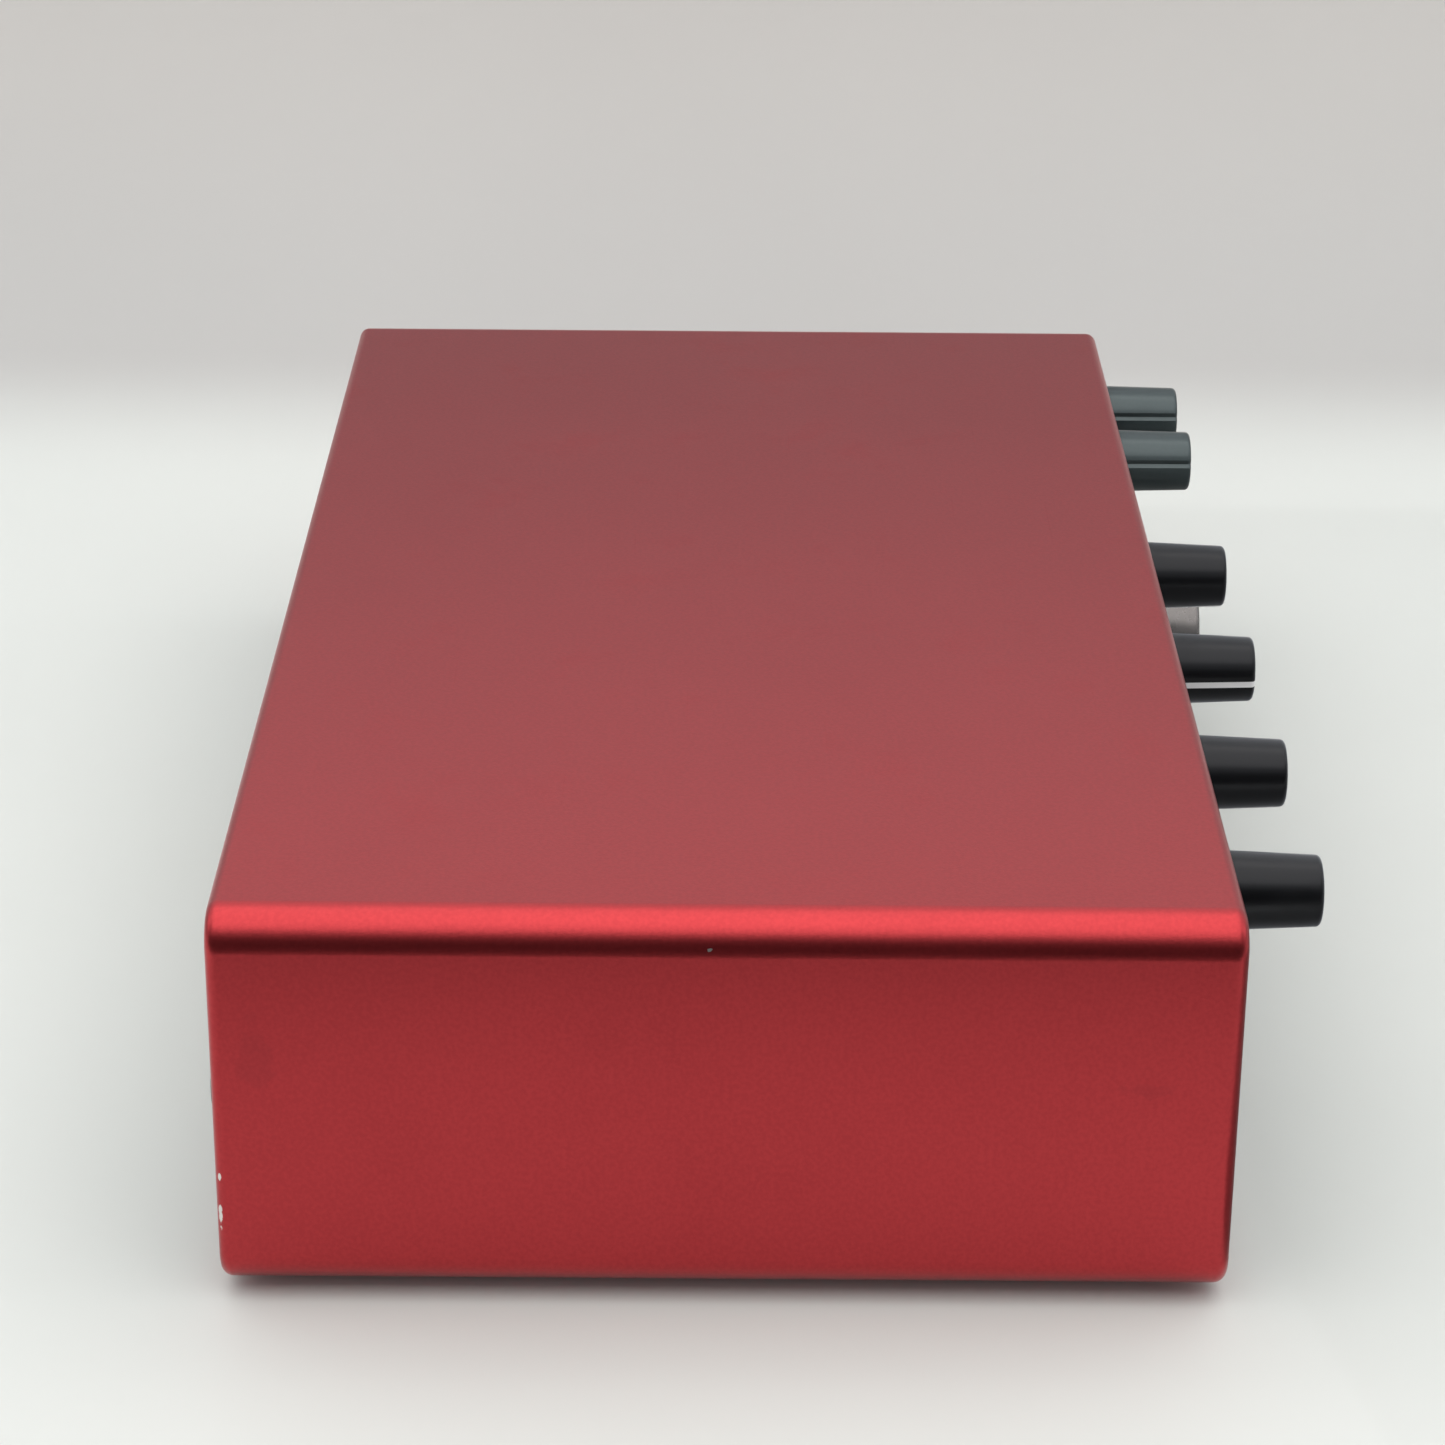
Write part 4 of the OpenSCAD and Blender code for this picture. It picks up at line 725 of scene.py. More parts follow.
# ---- Combination sockets -------------
# Four moulded sockets that take a round three-contact plug or a 6.35 mm jack. Each
# has a slot for the plug's shell, gold contacts, and a steel release tab at its top.
FACE_R, FACE_BACK, HOUSING_BACK = 11.8, 24, 2.9
SLOT_OUT, SLOT_IN, SLOT_DEEP = 9.6, 7.6, 14.0
JACK_R, JACK_DEEP = 3.3, 31.0
CONTACT_R, CONTACT_HOLE = 5.5, 1.3
socket_black = finish_of(
    "black socket moulding", (0.012, 0.012, 0.013), (0.019, 0.019, 0.020), 0.40, grains=900, depth=0.02,
    worn=0.05)
gold = finish_of(
    "gold plate", (0.83, 0.60, 0.27), (0.76, 0.53, 0.21), 0.24, metal=1.0, grains=2200, depth=0.004,
    worn=(0.62, 0.50, 0.34))
steel = finish_of(
    "bright steel", (0.56, 0.55, 0.53), (0.47, 0.46, 0.45), 0.30, metal=1.0, grains=1800, depth=0.006,
    smudges=0.16, scratches=0.12, worn=(0.7, 0.69, 0.67))


def block(lo, hi, soft=0.3, segments=2):
    """A block between two corners with softened edges, in millimetres."""
    made = bmesh.new()
    bmesh.ops.create_cube(made, size=1)
    bmesh.ops.scale(made, vec=Vector(hi) - Vector(lo), verts=made.verts)
    bmesh.ops.translate(made, vec=(Vector(lo) + Vector(hi)) / 2, verts=made.verts)
    if soft:
        bmesh.ops.bevel(made, geom=made.edges[:], offset=soft, segments=segments, profile=0.5,
                        affect="EDGES")
    return made


def bar(x, y, bottom, top, soft=0.3, segments=2):
    """A block round the Z axis, from its half widths and its two heights."""
    return block((-x, -y, bottom), (x, y, top), soft, segments)


def face_of(node, rear=False):
    """The middle of a node's front or rear face."""
    lo, hi = box_mm(node)
    return (lo.x + hi.x) / 2, (lo, hi)[rear].y, (lo.z + hi.z) / 2


def hole(r, bottom, top, ease, steps):
    """A round hole down from top, its mouth opened by ease."""
    return turned([(0, bottom), (r, bottom), (r, top - ease), (r + ease, top + 0.05),
                   (r + ease, top + 2), (0, top + 2)], steps)


combo_nodes = [f"combo_jack_{i}" for i in (1, 2, 3, 4)]
lo, hi = box_mm(combo_nodes[0])
half, long = (hi.x - lo.x) / 2, hi.y - lo.y
socket = solid(bar(half, half, 0, long - HOUSING_BACK, 0.9, 3), socket_black)
cut(socket, turned([(0, FACE_BACK), (FACE_R, FACE_BACK), (FACE_R, long - 0.5),
                    (FACE_R - 0.15, long - 0.15), (FACE_R - 0.5, long), (0, long)], 72), how="UNION")
slot = turned([(SLOT_IN, long - SLOT_DEEP), (SLOT_OUT, long - SLOT_DEEP), (SLOT_OUT, long - 0.5),
               (SLOT_OUT + 0.5, long + 0.05), (SLOT_OUT + 0.5, long + 2),
               (SLOT_IN - 0.5, long + 2), (SLOT_IN - 0.5, long + 0.05), (SLOT_IN, long - 0.5)], 72)
contact_at = arc(0, 0, CONTACT_R, (30, 150, 270))
cut(socket, slot, hole(JACK_R, long - JACK_DEEP, long, 0.6, 48),
    *[moved(hole(CONTACT_HOLE, long - SLOT_DEEP, long, 0.3, 24), (x, y, 0)) for x, y in contact_at])
spots = [face_of(node, rear=True) for node in combo_nodes]
set_at("combination_sockets", socket, spots, socket_black, FORWARD, "socket_plastic", *combo_nodes,
       sharp=35)
# Gold tubes in the contact holes, a gold ring and cup in the jack hole
tube = turned([(0.62, 0), (1.02, 0), (1.02, 9.4), (0.95, 9.6), (0.72, 9.6), (0.62, 9.45)], 20)
set_at("socket_contacts", tube, [(x + dx, y - (long - SLOT_DEEP), z + dz) for x, y, z in spots
                                 for dx, dz in contact_at], gold, FORWARD, "gold_plate")
spring = together(turned([(2.5, 0), (3.27, 0), (3.27, 3), (3.0, 3), (2.7, 2.2), (2.5, 0.4)], 32),
                  turned([(3.05, 17.0), (3.28, 16.4), (3.28, 19.6), (3.05, 19.0)], 32))
set_at("jack_springs", spring, [(x, y - (long - JACK_DEEP), z) for x, y, z in spots], gold, FORWARD,
       "gold_plate")
ridges = [block((-1.7, h - 0.16, 0.55), (1.7, h + 0.16, 0.85), 0.08, 1) for h in (-0.55, 0, 0.55)]
set_at("release_tabs", together(bar(2.3, 0.95, -0.6, 0.6, 0.25), *ridges),
       [(x, y - long + 0.25, z + FACE_R - 1.15) for x, y, z in spots], steel, FORWARD, "bright_steel")


# ---- Headphone and line jacks --------
# Moulded 6.35 mm jacks: two stand on the input board, eight on the main board. Each
# neck comes out through its panel and is held by a washer and a chamfered nut.
NUT_FLATS, NUT_T, WASHER_T, NECK_R = 12.0, 1.55, 0.45, 4.5
jack_black = finish_of(
    "black jack moulding", (0.010, 0.010, 0.011), (0.017, 0.017, 0.018), 0.36, grains=1000, depth=0.014,
    worn=0.05)
dark_nickel = finish_of(
    "dark nickel", (0.20, 0.195, 0.19), (0.15, 0.148, 0.145), 0.28, metal=1.0, grains=2000, depth=0.006,
    scratches=0.15, worn=(0.42, 0.40, 0.38))
coat(jack_black, "phones_jack_1", "phones_jack_2", "line_in_jacks", "line_out_jacks")


def nut_and_washer():
    """A washer with a nut on it, its corners chamfered on both faces."""
    hexagon = bmesh.new()
    top, flat = WASHER_T + NUT_T, NUT_FLATS / 2
    corner = flat / math.cos(math.radians(30))
    bmesh.ops.create_cone(hexagon, segments=6, radius1=corner, radius2=corner, depth=NUT_T,
                          cap_ends=True)
    nut = solid(moved(hexagon, (0, 0, WASHER_T + NUT_T / 2), 30), dark_nickel)
    cut(nut, turned([(0, WASHER_T - 0.1), (flat, WASHER_T - 0.1), (corner + 0.1, WASHER_T + 0.42),
                     (corner + 0.1, top - 0.42), (flat - 0.1, top + 0.08), (0, top + 0.08)], 72),
        how="INTERSECT")
    cut(nut, turned([(0, -1), (NECK_R + 0.02, -1), (NECK_R + 0.02, top - 0.3),
                     (NECK_R + 0.35, top + 0.05), (NECK_R + 0.35, top + 1), (0, top + 1)], 48))
    washer = turned([(NECK_R + 0.1, 0), (flat + 0.75, 0), (flat + 0.8, 0.08),
                     (flat + 0.8, WASHER_T - 0.1), (flat + 0.7, WASHER_T), (NECK_R + 0.1, WASHER_T)],
                    64)
    whole = bmesh.new()
    whole.from_mesh(nut.data)
    bpy.data.objects.remove(nut)
    bmesh.ops.scale(whole, vec=(1 / mm, 1 / mm, 1 / mm), verts=whole.verts)
    return solid(together(whole, washer), dark_nickel, 25)


ports_of = {m["name"]: Vector(m["pos_m"]) / mm for m in frame["record"]["mounts"] if "pos_m" in m}
phone_ports = ["phones_1_plug", "phones_2_plug"]
line_ports = [f"line_{way}_{i}_plug" for way in ("in", "out") for i in (1, 2, 3, 4)]


def at_ports(names, y):
    """Spots on the axes of these ports, at the given depth."""
    return [(ports_of[name].x, y, ports_of[name].z) for name in names]


# Each neck's mouth is lined with a steel bush
bush = [(JACK_R - 0.02, -5.5), (JACK_R - 0.02, 0.02), (JACK_R + 0.35, 0.02), (JACK_R + 0.5, 0.1),
        (JACK_R + 0.45, 0.2), (JACK_R - 0.05, 0.22), (JACK_R - 0.25, 0.05), (JACK_R - 0.25, -5.5)]
for end, names, side, turn in (("front", phone_ports, 1, FORWARD), ("rear", line_ports, 0, REARWARD)):
    spots = at_ports(names, box_mm(f"{end}_jack_nuts")[side].y)
    set_at(f"{end}_nuts", nut_and_washer(), spots, dark_nickel, turn, "dark_nickel",
           f"{end}_jack_nuts", sharp=25)
for end, names, y, turn in (("front", phone_ports, box_mm("phones_jack_1")[0].y, FORWARD),
                            ("rear", line_ports, box_mm("line_in_jacks")[1].y, REARWARD)):
    set_at(f"{end}_bushes", turned(bush, 48), at_ports(names, y), steel, turn, "bright_steel")


# ---- Push buttons --------------------
# Five moulded caps with softly rounded edges and a shallow dish. A lip behind the
# panel keeps each one in, and a plunger reaches its switch on the control board.
CAP_W, CAP_H, CAP_R, CAP_ROUND = 6.0, 3.6, 0.8, 0.5
LIP_FRONT, LIP_T = 4.9, 0.8
button_gray = finish_of(
    "gray button moulding", (0.045, 0.046, 0.048), (0.060, 0.061, 0.063), 0.42, grains=1300,
    depth=0.012, worn=0.13)


def lofted(rings, width, height, corner, steps=5, hollow=False):
    """Rounded rectangles joined into a shape; each ring is (inset, height up) in millimetres."""
    made = bmesh.new()
    loops = []
    for inset, up in rings:
        r = max(corner - inset, 0.12)
        w, h = width / 2 - inset - r, height / 2 - inset - r
        spots = []
        for q, (sx, sy) in enumerate(((1, 1), (-1, 1), (-1, -1), (1, -1))):
            spots += arc(sx * w, sy * h, r, [90 * (q + i / steps) for i in range(steps + 1)])
        loops.append([made.verts.new((x, y, up)) for x, y in spots])
    for low, high in zip(loops, loops[1:]):
        ring_faces(made, low, high)
    if hollow:
        ring_faces(made, loops[-1], loops[0])
    else:
        made.faces.new(loops[0])
        made.faces.new(loops[-1])
    bmesh.ops.recalc_face_normals(made, faces=made.faces)
    return made


for node in [f"button_channel_{i}" for i in (1, 2, 3, 4)] + ["button_mute"]:
    lo, hi = box_mm(node)
    tall = hi.y - lo.y
    lip_back, lip = tall - LIP_FRONT - LIP_T, (hi.x - lo.x - CAP_W) / 2
    rings = [(0.4, lip_back), (0, lip_back + 0.1), (0, tall - CAP_ROUND)]
    rings += arc(CAP_ROUND, tall - CAP_ROUND, CAP_ROUND, (150, 120, 90))
    rings += [(0.9, tall - 0.12), (1.4, tall - 0.2)]
    shape = together(lofted(rings, CAP_W, CAP_H, CAP_R),
                     bar(CAP_W / 2 + lip, CAP_H / 2 + lip, lip_back, lip_back + LIP_T, 0.15),
                     turned([(0, 0), (1.05, 0), (1.2, 0.15), (1.2, 2.75), (0, 2.75)], 24))
    cap = solid(moved(shape, face_of(node, rear=True), 90, "X"), button_gray, 40,
                node.replace("button_", "cap_"))
    fix(cap, node, "button_plastic", node)


# ---- Light pipes ---------------------
# Clear rods that carry light from the control board to small round windows in the
# panel. Their ends are frosted.
frosted = finish_of(
    "frosted clear", (0.72, 0.75, 0.73), (0.66, 0.69, 0.68), 0.32, grains=1500, depth=0.01,
    smudges=0.08, Transmission_Weight=0.55, IOR=1.49)
coat(frosted, "light_pipes")


# ---- Rear panel ----------------------
# A 1.5 mm steel sheet, punched and powder-coated black, screwed to the sleeve's
# four ports. Socket numbers are printed above the line sockets.
REAR_NUMBERS_UP, REAR_NUMBERS_HIGH = 11.5, 3.2
rear_coat = finish_of(
    "black coated steel", (0.011, 0.011, 0.012), (0.017, 0.017, 0.018), 0.44, grains=1300, depth=0.04,
    speckle=0.5, smudges=0.12, scratches=0.08, worn=0.06, Specular_IOR_Level=0.36)
coat(rear_coat, "rear_panel")
coaxial_ports = ["coaxial_1", "coaxial_2"]
names = line_ports + coaxial_ports
words = [(name.replace("_plug", "")[-1], at(x, y, z + REAR_NUMBERS_UP) @ turn_by(180))
         for name, (x, y, z) in zip(names, at_ports(names, box_mm("rear_panel")[1].y + INK_T / 2))]
printed("rear_numbers", words, REAR_NUMBERS_HIGH)


# ---- Screws --------------------------
# Black steel screws with cross recesses: four pan heads hold the rear panel, and
# four countersunk ones come up through the floor into the board's standoffs.
HEAD_H, PAN_R, PITCH, THREAD_DEEP = 1.1, 2.2, 0.5, 0.22
screw_black = finish_of(
    "blackened steel", (0.030, 0.030, 0.031), (0.045, 0.045, 0.046), 0.34, metal=0.85, grains=1800,
    depth=0.008, scratches=0.12, worn=(0.30, 0.29, 0.28))


def cross_recess(wide, deep, top, over=0):
    """The tapered cross that a driver fits, sunk from the given height, then turned over."""
    arms = []
    for turn in (0, 90):
        arm = bar(wide / 2, 0.32, top - deep, top + 1, 0)
        for v in arm.verts:
            if v.co.z < top:
                v.co.x *= 0.45
                v.co.y *= 0.8
        arms.append(moved(moved(arm, (0, 0, 0), turn), (0, 0, 0), over, "X"))
    return arms


def threaded(r, start, stop):
    """Half-profile of a thread's ridges from start to stop."""
    rungs = []
    h = start
    while h + PITCH < stop:
        rungs += [(r, h), (r - THREAD_DEEP, h + PITCH / 2)]
        h += PITCH
    return rungs + [(r, h), (r * 0.8, stop)]


lo, hi = box_mm("rear_screws")
shank = hi.y - HEAD_H - lo.y
profile = [(0, -shank)] + threaded(1.45, -shank, -0.3) + [(PAN_R - 0.1, 0), (PAN_R, 0.12)]
profile += arc(0, 0.35, PAN_R, (0, 25, 50, 70), HEAD_H - 0.35) + [(0, HEAD_H)]
pan = solid(turned(profile, 40), screw_black)
set_at("panel_screws", cut(pan, *cross_recess(2.6, 0.8, HEAD_H)),
       [(x, hi.y - HEAD_H, z) for x in (lo.x + PAN_R, hi.x - PAN_R)
        for z in (lo.z + PAN_R, hi.z - PAN_R)], screw_black, REARWARD, "black_screw", "rear_screws")
long = screw_hi.z - screw_lo.z
profile = [(0, 0), (HEAD_R - 0.06, 0), (HEAD_R, 0.06), (1.5, SINK_DEEP)]
under = solid(turned(profile + threaded(1.5, 1.6, long) + [(0, long)], 40), screw_black)
set_at("underside_screws", cut(under, *cross_recess(3.2, 0.9, 0, 180)), floor_screw_spots,
       screw_black, UPWARD, "black_screw", "floor_screws")


# ---- Coaxial sockets -----------------
# A moulded block for two coaxial sockets. Each has a gold-plated barrel with a
# rolled lip round the block's core, and a gold contact in the middle.
BARREL_R, CORE_R = 4.15, 3.5
coat(socket_black, "coaxial_block")
lo, hi = box_mm("coaxial_barrels")
long = hi.y - lo.y
barrel = turned([
    (CORE_R + 0.02, 0), (5.3, 0), (5.4, 0.1), (5.4, 0.5), (5.3, 0.6), (BARREL_R + 0.15, 0.65),
    (BARREL_R, 0.8), (BARREL_R, long - 0.9), (BARREL_R - 0.12, long - 0.75), (BARREL_R, long - 0.55),
    (BARREL_R, long - 0.25), (BARREL_R - 0.1, long - 0.06), (BARREL_R - 0.3, long),
    (CORE_R + 0.12, long), (CORE_R + 0.02, long - 0.15)], 56)
set_at("coaxial_sleeves", barrel, at_ports(coaxial_ports, lo.y), gold, REARWARD, "gold_plate",
       "coaxial_barrels", sharp=30)
pin = turned([(0.85, -5), (1.62, -5), (1.62, 0.02), (1.45, 0.08), (1.05, 0.02), (0.85, -0.2)], 24)
core_end = box_mm("coaxial_block")[1].y
set_at("coaxial_contacts", pin, at_ports(coaxial_ports, core_end), gold, REARWARD, "gold_plate")


# ---- Five-pin sockets ----------------
# Two moulded sockets for five-pin plugs. A stamped steel shield lines each round
# slot, and five gold tubes stand in the holes.
SHIELD_OUT, SHIELD_IN, SHIELD_LONG = 7.38, 7.1, 8.0
PIN_CIRCLE = 3.75
coat(socket_black, "midi_in_socket", "midi_out_socket")
spots = [ports_of[name] for name in ("midi_in", "midi_out")]
shield = turned([(SHIELD_IN, -SHIELD_LONG), (SHIELD_OUT, -SHIELD_LONG), (SHIELD_OUT, -0.12),
                 (SHIELD_OUT - 0.06, -0.02), (SHIELD_IN + 0.06, -0.02), (SHIELD_IN, -0.12)], 64)
set_at("five_pin_shields", shield, spots, steel, REARWARD, "port_steel")
tube = turned([(0.42, -6), (0.78, -6), (0.78, -0.35), (0.7, -0.25), (0.5, -0.25), (0.42, -0.35)], 16)
set_at("five_pin_contacts", tube, [(x, s.y, z) for s in spots
                                   for x, z in arc(s.x, s.z, PIN_CIRCLE, range(180, 361, 45))],
       gold, REARWARD, "gold_plate")


# ---- Optical socket ------------------
# A square moulded socket for light, with a lens inside. A sprung door with a finger
# rib closes its mouth.
DOOR = 6.7
coat(socket_black, "optical_socket")
rib = block((-DOOR / 2 + 1.0, DOOR / 2 - 1.3, -0.4), (DOOR / 2 - 1.0, DOOR / 2 - 0.8, -0.02), 0.1)
dimple = turned([(0, -0.3), (1.4, -0.3), (1.3, -0.06), (1.1, -0.06), (1.0, -0.2), (0, -0.2)], 24)
rings = [(0.1, -0.9), (0, -0.8), (0, -0.35), (0.12, -0.25), (0.5, -0.22)]
door = together(lofted(rings, DOOR, DOOR, 0.4, 3), rib, moved(dimple, (0, -0.2, 0)))
set_at("optical_door", door, [ports_of["optical_in"]], jack_black, REARWARD, "socket_plastic")


# ---- Data port -----------------------
# A drawn steel shell with round ends. A black tongue stands in it, with a row of
# gold contacts on each face.
SHELL_T, CONTACTS, CONTACT_PITCH = 0.3, 12, 0.5
TONGUE_W, TONGUE_T, TONGUE_BACK = 6.7, 0.7, 0.6
lo, hi = box_mm("data_socket")
wide, tall, long = hi.x - lo.x, hi.z - lo.z, hi.y - lo.y
port_steel = finish_of(
    "drawn steel", (0.50, 0.50, 0.51), (0.42, 0.42, 0.43), 0.27, metal=1.0, grains=1600, depth=0.006,
    scratches=0.15, worn=(0.66, 0.66, 0.65))
tongue_black = finish_of(
    "black tongue", (0.011, 0.011, 0.012), (0.016, 0.016, 0.017), 0.4, grains=1800, depth=0.008,
    smudges=0.1, worn=0.04)
corner = tall / 2 - 0.02
shell = lofted([(SHELL_T, 0.3), (SHELL_T, 0), (0, 0), (0, long - 0.14), (0.04, long - 0.04),
                (0.12, long), (SHELL_T - 0.1, long), (SHELL_T, long - 0.12)], wide, tall, corner, 8,
               hollow=True)
x, y, z = face_of("data_socket")
set_at("data_port_shell", shell, [(x, y, z)], port_steel, REARWARD, "port_steel", "data_socket")
thin = 2 * SHELL_T + 0.02
base = lofted([(0, 0), (0, 2.0), (0.1, 2.1)], wide - thin, tall - thin, corner - SHELL_T, 6)
tongue = bar(TONGUE_W / 2, TONGUE_T / 2, 1.5, long - TONGUE_BACK, 0.12)
set_at("data_port_tongue", together(moved(base, (0, 0, 0.02)), tongue), [(x, y, z)], tongue_black,
       REARWARD, "socket_plastic")
strip = bar(0.13, TONGUE_T / 2 + 0.03, 2.2, long - 1.0, 0)
spots = [(x + (i - (CONTACTS - 1) / 2) * CONTACT_PITCH, y, z) for i in range(CONTACTS)]
set_at("data_port_contacts", strip, spots, gold, REARWARD, "gold_plate")


# ---- Power inlet ---------------------
# A moulded inlet for a round low-voltage plug, with a nickel-plated pin and a
# nickel-plated spring ring in its mouth.
PIN_R, MOUTH_R = 1.0, 3.15
coat(socket_black, "power_inlet")
pin = turned([(0, -9.5), (PIN_R + 0.04, -9.5), (PIN_R + 0.04, -1.25), (PIN_R - 0.1, -0.9),
              (PIN_R - 0.45, -0.72), (0, -0.68)], 24)
liner = turned([(MOUTH_R - 0.22, -9.4), (MOUTH_R - 0.01, -9.4), (MOUTH_R - 0.01, -1.6),
                (MOUTH_R - 0.12, -1.5), (MOUTH_R - 0.22, -1.6)], 40)
set_at("inlet_contacts", together(pin, liner), [ports_of["power_in"]], steel, REARWARD,
       "bright_steel")


# ---- Power switch --------------------
# A snap-in rocker switch. Its frame is a black moulding with a flange that lies on
# the rear panel; the rocker tilts on two pins in it and is marked 1 and 0.
BODY_INSET, OPEN_W, FLANGE_T, FRAME_ROUND = 1.1, 10.0, 1.2, 0.7
REST_TILT, ROCKER_W = 8.0, 9.0
FACE_LIFT, FACE_RISE = 3.0, 0.1125
switch_black = finish_of(
    "black switch moulding", (0.011, 0.011, 0.012), (0.018, 0.018, 0.019), 0.33, grains=1100,
    depth=0.014, worn=0.05)
lo, hi = box_mm("switch_frame")
wide, tall, deep = hi.x - lo.x, hi.z - lo.z, hi.y - lo.y
flange, inner = deep - FLANGE_T, (wide - OPEN_W) / 2
rings = [(BODY_INSET + 0.2, 0), (BODY_INSET, 0.2), (BODY_INSET, flange), (0.1, flange), (0, flange + 0.1)]
rings += arc(FRAME_ROUND, deep - FRAME_ROUND, FRAME_ROUND, (180, 158, 135, 113, 90))
rings += [(inner - 0.3, deep), (inner - 0.08, deep - 0.1), (inner, deep - 0.35), (inner, 1.5)]
set_at("switch_surround", lofted(rings, wide, tall, 2.4, 6), [face_of("switch_frame")], switch_black,
       REARWARD, "button_plastic", "switch_frame")


def drawn_out(outline, start, by, axis):
    """A flat outline drawn out by a length along X (axis 0) or Y (axis 1)."""
    made = bmesh.new()
    corners = [(start, a, b) if axis == 0 else (a, start, b) for a, b in outline]
    flank = made.faces.new([made.verts.new(corner) for corner in corners])
    drawn = bmesh.ops.extrude_face_region(made, geom=[flank])
    bmesh.ops.translate(made, vec=(by, 0, 0) if axis == 0 else (0, by, 0),
                        verts=[v for v in drawn["geom"] if isinstance(v, bmesh.types.BMVert)])
    return made


def lift_at(z):
    """How far the rocker's face stands out, z above or below its middle."""
    return FACE_LIFT + abs(z) * FACE_RISE


outline = [(-3, -4.8), (1.95, -8), (3.5, -8), (lift_at(7.6), -7.6), (lift_at(0.4), -0.4)]
outline += [(y, -z) for y, z in reversed(outline)]
made = drawn_out(outline, -ROCKER_W / 2, ROCKER_W, 0)
rims = [e for e in made.edges if abs(e.verts[0].co.x - e.verts[1].co.x) < 1e-6]
bmesh.ops.bevel(made, geom=rims, offset=0.35, segments=3, profile=0.5, affect="EDGES")
# Three grip ribs near each end, and the two pins
ribs = [block((-3.2, lift_at(z) - 0.3, z - 0.17), (3.2, lift_at(z) + 0.16, z + 0.17), 0.1, 1)
        for end in (-1, 1) for z in (end * 5.6, end * 6.35, end * 7.1)]
pins = turned([(0, -5.9), (1.0, -5.9), (1.2, -5.7), (1.2, 5.7), (1.0, 5.9), (0, 5.9)], 24)
shape = together(made, *ribs, moved(pins, (0, 0, 0), 90, "Y"))
bmesh.ops.recalc_face_normals(shape, faces=shape.faces)
pivot = axle["power_rocker_tip"]
rocker = solid(moved(shape, pivot, REST_TILT, "X"), switch_black, 32, "rocker")
fix(rocker, "power_rocker", "button_plastic", "power_rocker")
slope = math.degrees(math.atan(FACE_RISE))
tilted = at(*pivot) @ turn_by(REST_TILT, "X")
printed("rocker_marks", [(text, tilted @ at(0, lift_at(up) + INK_T / 2, up) @ turn_by(lean, "X")
                          @ turn_by(180)) for text, up, lean in (("1", 3, -slope), ("0", -3, slope))],
        2.8, "power_rocker")


# ---- Boards --------------------------
# Three glass-fibre boards: one upright behind the knobs, one upright behind the
# sockets and one flat main board. Copper tracks show faintly under green mask.
mask_green = finish_of(
    "green mask", (0.004, 0.045, 0.020), (0.007, 0.060, 0.028), 0.3, grains=900, depth=0.01,
    smudges=0.12, worn=(0.20, 0.19, 0.11), reach=0.0002)
tree = mask_green.node_tree
# Tracks run along the edges of the cells of two patterns
for cells, least, most in ((160, 0.02, 0.05), (420, 0.03, 0.09)):
    lanes = add_node(tree, "ShaderNodeTexVoronoi", feature="DISTANCE_TO_EDGE", Vector=place_on(tree),
                     Scale=cells, Randomness=0.35).outputs["Distance"]
    lay_over(mask_green, ranged(tree, lanes, most, least), (0.016, 0.115, 0.050))
coat(mask_green, "control_board", "input_board", "main_board")


# ---- Board parts: standoffs, controls and switches ----
# Zinc-plated standoffs and pots, ground steel shafts, and small moulded switches
# behind the buttons.
zinc = finish_of(
    "zinc plate", (0.46, 0.46, 0.47), (0.36, 0.37, 0.39), 0.36, metal=1.0, grains=700, depth=0.010,
    smudges=0.16, scratches=0.12, worn=0.6)
ground_steel = finish_of(
    "ground steel", (0.60, 0.60, 0.61), (0.52, 0.52, 0.53), 0.24, metal=1.0, grains=2600, depth=0.008,
    smudges=0.12, scratches=0.2, worn=0.7)
switch_dark = finish_of(
    "dark switch moulding", (0.020, 0.020, 0.022), (0.030, 0.030, 0.032), 0.45, grains=1400,
    depth=0.012, smudges=0.1, worn=0.07)
coat(zinc, "board_standoffs", "gain_pots", "output_pots")
coat(ground_steel, "shaft_gain_1", "shaft_gain_2", "shaft_gain_3", "shaft_gain_4",
     "shaft_phones_1", "shaft_phones_2", "shaft_monitor")
coat(switch_dark, "tact_switches")


# ---- Chips ---------------------------
# Moulded black packages soldered to the main board. Their bent tinned legs stand
# in rows along their sides.
LEG_PITCH, LEG_REACH, LEG_W = 0.8, 0.9, 0.34
epoxy = finish_of(
    "chip epoxy", (0.013, 0.013, 0.014), (0.020, 0.020, 0.021), 0.55, grains=2400, depth=0.010,
    smudges=0.06, worn=0.05)
coat(epoxy, "chips")
lo, hi = box_mm("chips")
mid = (hi.z - lo.z) / 2
leg_line = [(-0.1, mid), (0.28, mid), (0.45, 0.22), (LEG_REACH, 0.16), (LEG_REACH, 0.02),
            (0.32, 0.02), (0.18, mid - 0.16), (-0.1, mid - 0.16)]
# Middle, half width and half depth of each package
packages = [((61.5, 5.75), 8.5, 8.5), ((0.0, 5.75), 6.0, 6.0)]
packages += [((ports_of[f"line_in_{i}_plug"].x, lo.y + 3.0), 5.0, 3.0) for i in (1, 2, 3, 4)]
for side, (ax, ay) in enumerate(((1, 0), (0, 1), (-1, 0), (0, -1))):
    spots = []
    for (x, y), half_w, half_d in packages:
        if half_w != half_d and ax:
            continue
        run = half_d if ax else half_w
        count = int((2 * run - 1.2) / LEG_PITCH)
        for k in range(count):
            along = (k - (count - 1) / 2) * LEG_PITCH
            spots.append((x + ax * half_w + (0 if ax else along),
                          y + ay * half_d + (along if ax else 0), lo.z))
    leg = drawn_out(leg_line, -LEG_W / 2, LEG_W, 1)
    bmesh.ops.recalc_face_normals(leg, faces=leg.faces)
    set_at(f"chip_legs_{side + 1}", solid(leg, steel, 20), spots, steel, (0, 0, side * math.pi / 2),
           "bright_steel")


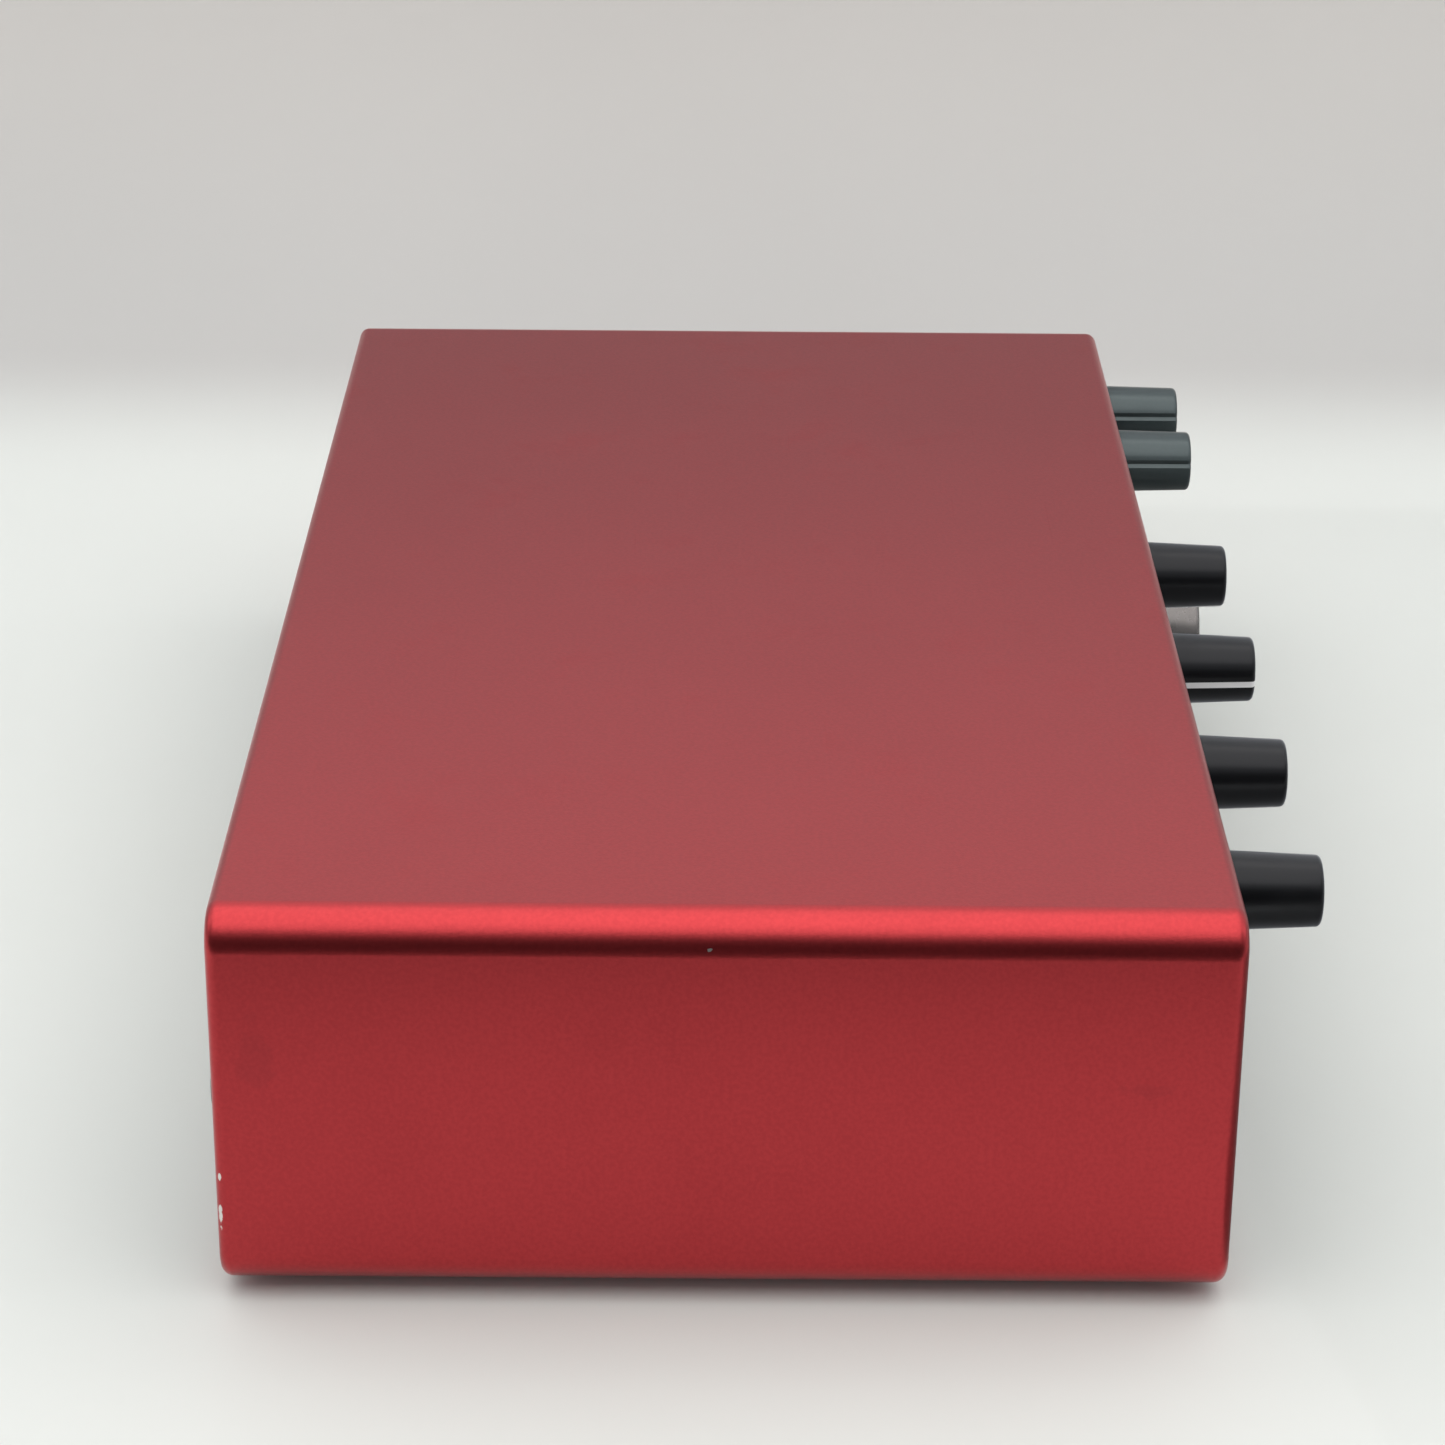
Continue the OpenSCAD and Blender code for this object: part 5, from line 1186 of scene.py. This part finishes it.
# ---- Capacitors ----------------------
# Aluminium cans in dark blue shrink sleeves, crimped near the foot. Their tops are
# bare, with a cross scored in them.
BIG_R, SMALL_R, SMALL_H = 5.0, 3.15, 7.0
shrink = finish_of(
    "blue shrink sleeve", (0.010, 0.016, 0.055), (0.014, 0.022, 0.075), 0.3, grains=1000, depth=0.008,
    smudges=0.12, worn=(0.05, 0.06, 0.12))
bare_can = finish_of(
    "bare aluminium", (0.66, 0.66, 0.67), (0.58, 0.58, 0.59), 0.34, metal=1.0, grains=2200, depth=0.008,
    scratches=0.15, worn=0.8)
lo, hi = box_mm("capacitors")
for label, r, h, y, names in (
        ("large", BIG_R, hi.z - lo.z, hi.y - BIG_R, ("optical_in", "data_port", "power_in")),
        ("small", SMALL_R, SMALL_H, lo.y + SMALL_R, line_ports)):
    spots = [(ports_of[name].x, y, lo.z) for name in names]
    # The sleeved body, crimped near the foot, with a rolled rim at the top
    can = turned([(0, 0), (r - 0.3, 0), (r, 0.25), (r, 1.3), (r - 0.25, 1.7), (r - 0.25, 2.0),
                  (r, 2.4), (r, h - 0.45), (r - 0.12, h - 0.15), (r - 0.4, h - 0.05),
                  (r - 0.75, h - 0.12), (r - 0.8, h - 0.3), (0, h - 0.3)], 40)
    set_at(f"{label}_capacitors", can, spots, shrink, UPWARD, "capacitor_sleeve", "capacitors")
    disc = turned([(0, h - 0.35), (r - 0.82, h - 0.35), (r - 0.9, h - 0.14), (0, h - 0.12)], 40)
    score = [moved(bar(r * 0.6, 0.12, h - 0.2, h, 0), (0, 0, 0), turn) for turn in (0, 90)]
    set_at(f"{label}_capacitor_tops", cut(solid(disc, bare_can), *score), spots, bare_can, UPWARD,
           "bright_steel")


# ---- Ribbon cable --------------------
# A flat cable of round gray wires moulded side by side. It bends through a quarter
# turn from the input board down to the main board.
WIRES, WIRE_SHARE = 20, 0.4802
gray_vinyl = finish_of(
    "gray vinyl", (0.27, 0.27, 0.28), (0.33, 0.33, 0.34), 0.45, grains=1200, depth=0.012, smudges=0.1,
    worn=0.42)
tree, given = new_tree("flat cable", {
    "Wires": "Int", "Pitch": "Float", "Wire radius": "Float", "Bend": "Float",
    "Start": "Vector", "Finish": "Material"})
bend = add_node(tree, "GeometryNodeCurveArc", Resolution=24, Sweep_Angle=math.radians(90),
                Radius=given["Bend"])
wire = add_node(tree, "GeometryNodeCurvePrimitiveCircle", Resolution=10, Radius=given["Wire radius"])
tube = add_node(tree, "GeometryNodeCurveToMesh", Curve=bend, Profile_Curve=wire, Fill_Caps=True)
stood = add_node(tree, "GeometryNodeTransform", Geometry=tube,
                 Rotation=(math.radians(90), 0, math.radians(90)))
row = add_node(tree, "GeometryNodeMeshLine", Count=given["Wires"], Start_Location=given["Start"],
               Offset=add_node(tree, "ShaderNodeCombineXYZ", X=given["Pitch"]))
laid = add_node(tree, "GeometryNodeInstanceOnPoints", Points=row, Instance=stood)
end_tree(tree, laid, given)
lo, hi = box_mm("ribbon_cable")
pitch = (hi.x - lo.x) / WIRES
cable = run_tree(plain_mesh("flat_cable", ()), tree, Wires=WIRES, Pitch=pitch * mm,
                 Wire_radius=WIRE_SHARE * pitch * mm, Bend=(hi.z - lo.z - pitch / 2) * mm,
                 Start=Vector((lo.x + pitch / 2, lo.y, lo.z)) * mm, Finish=gray_vinyl)
cable.data.shade_smooth()
fix(cable, "case", "ribbon_gray", "ribbon_cable")
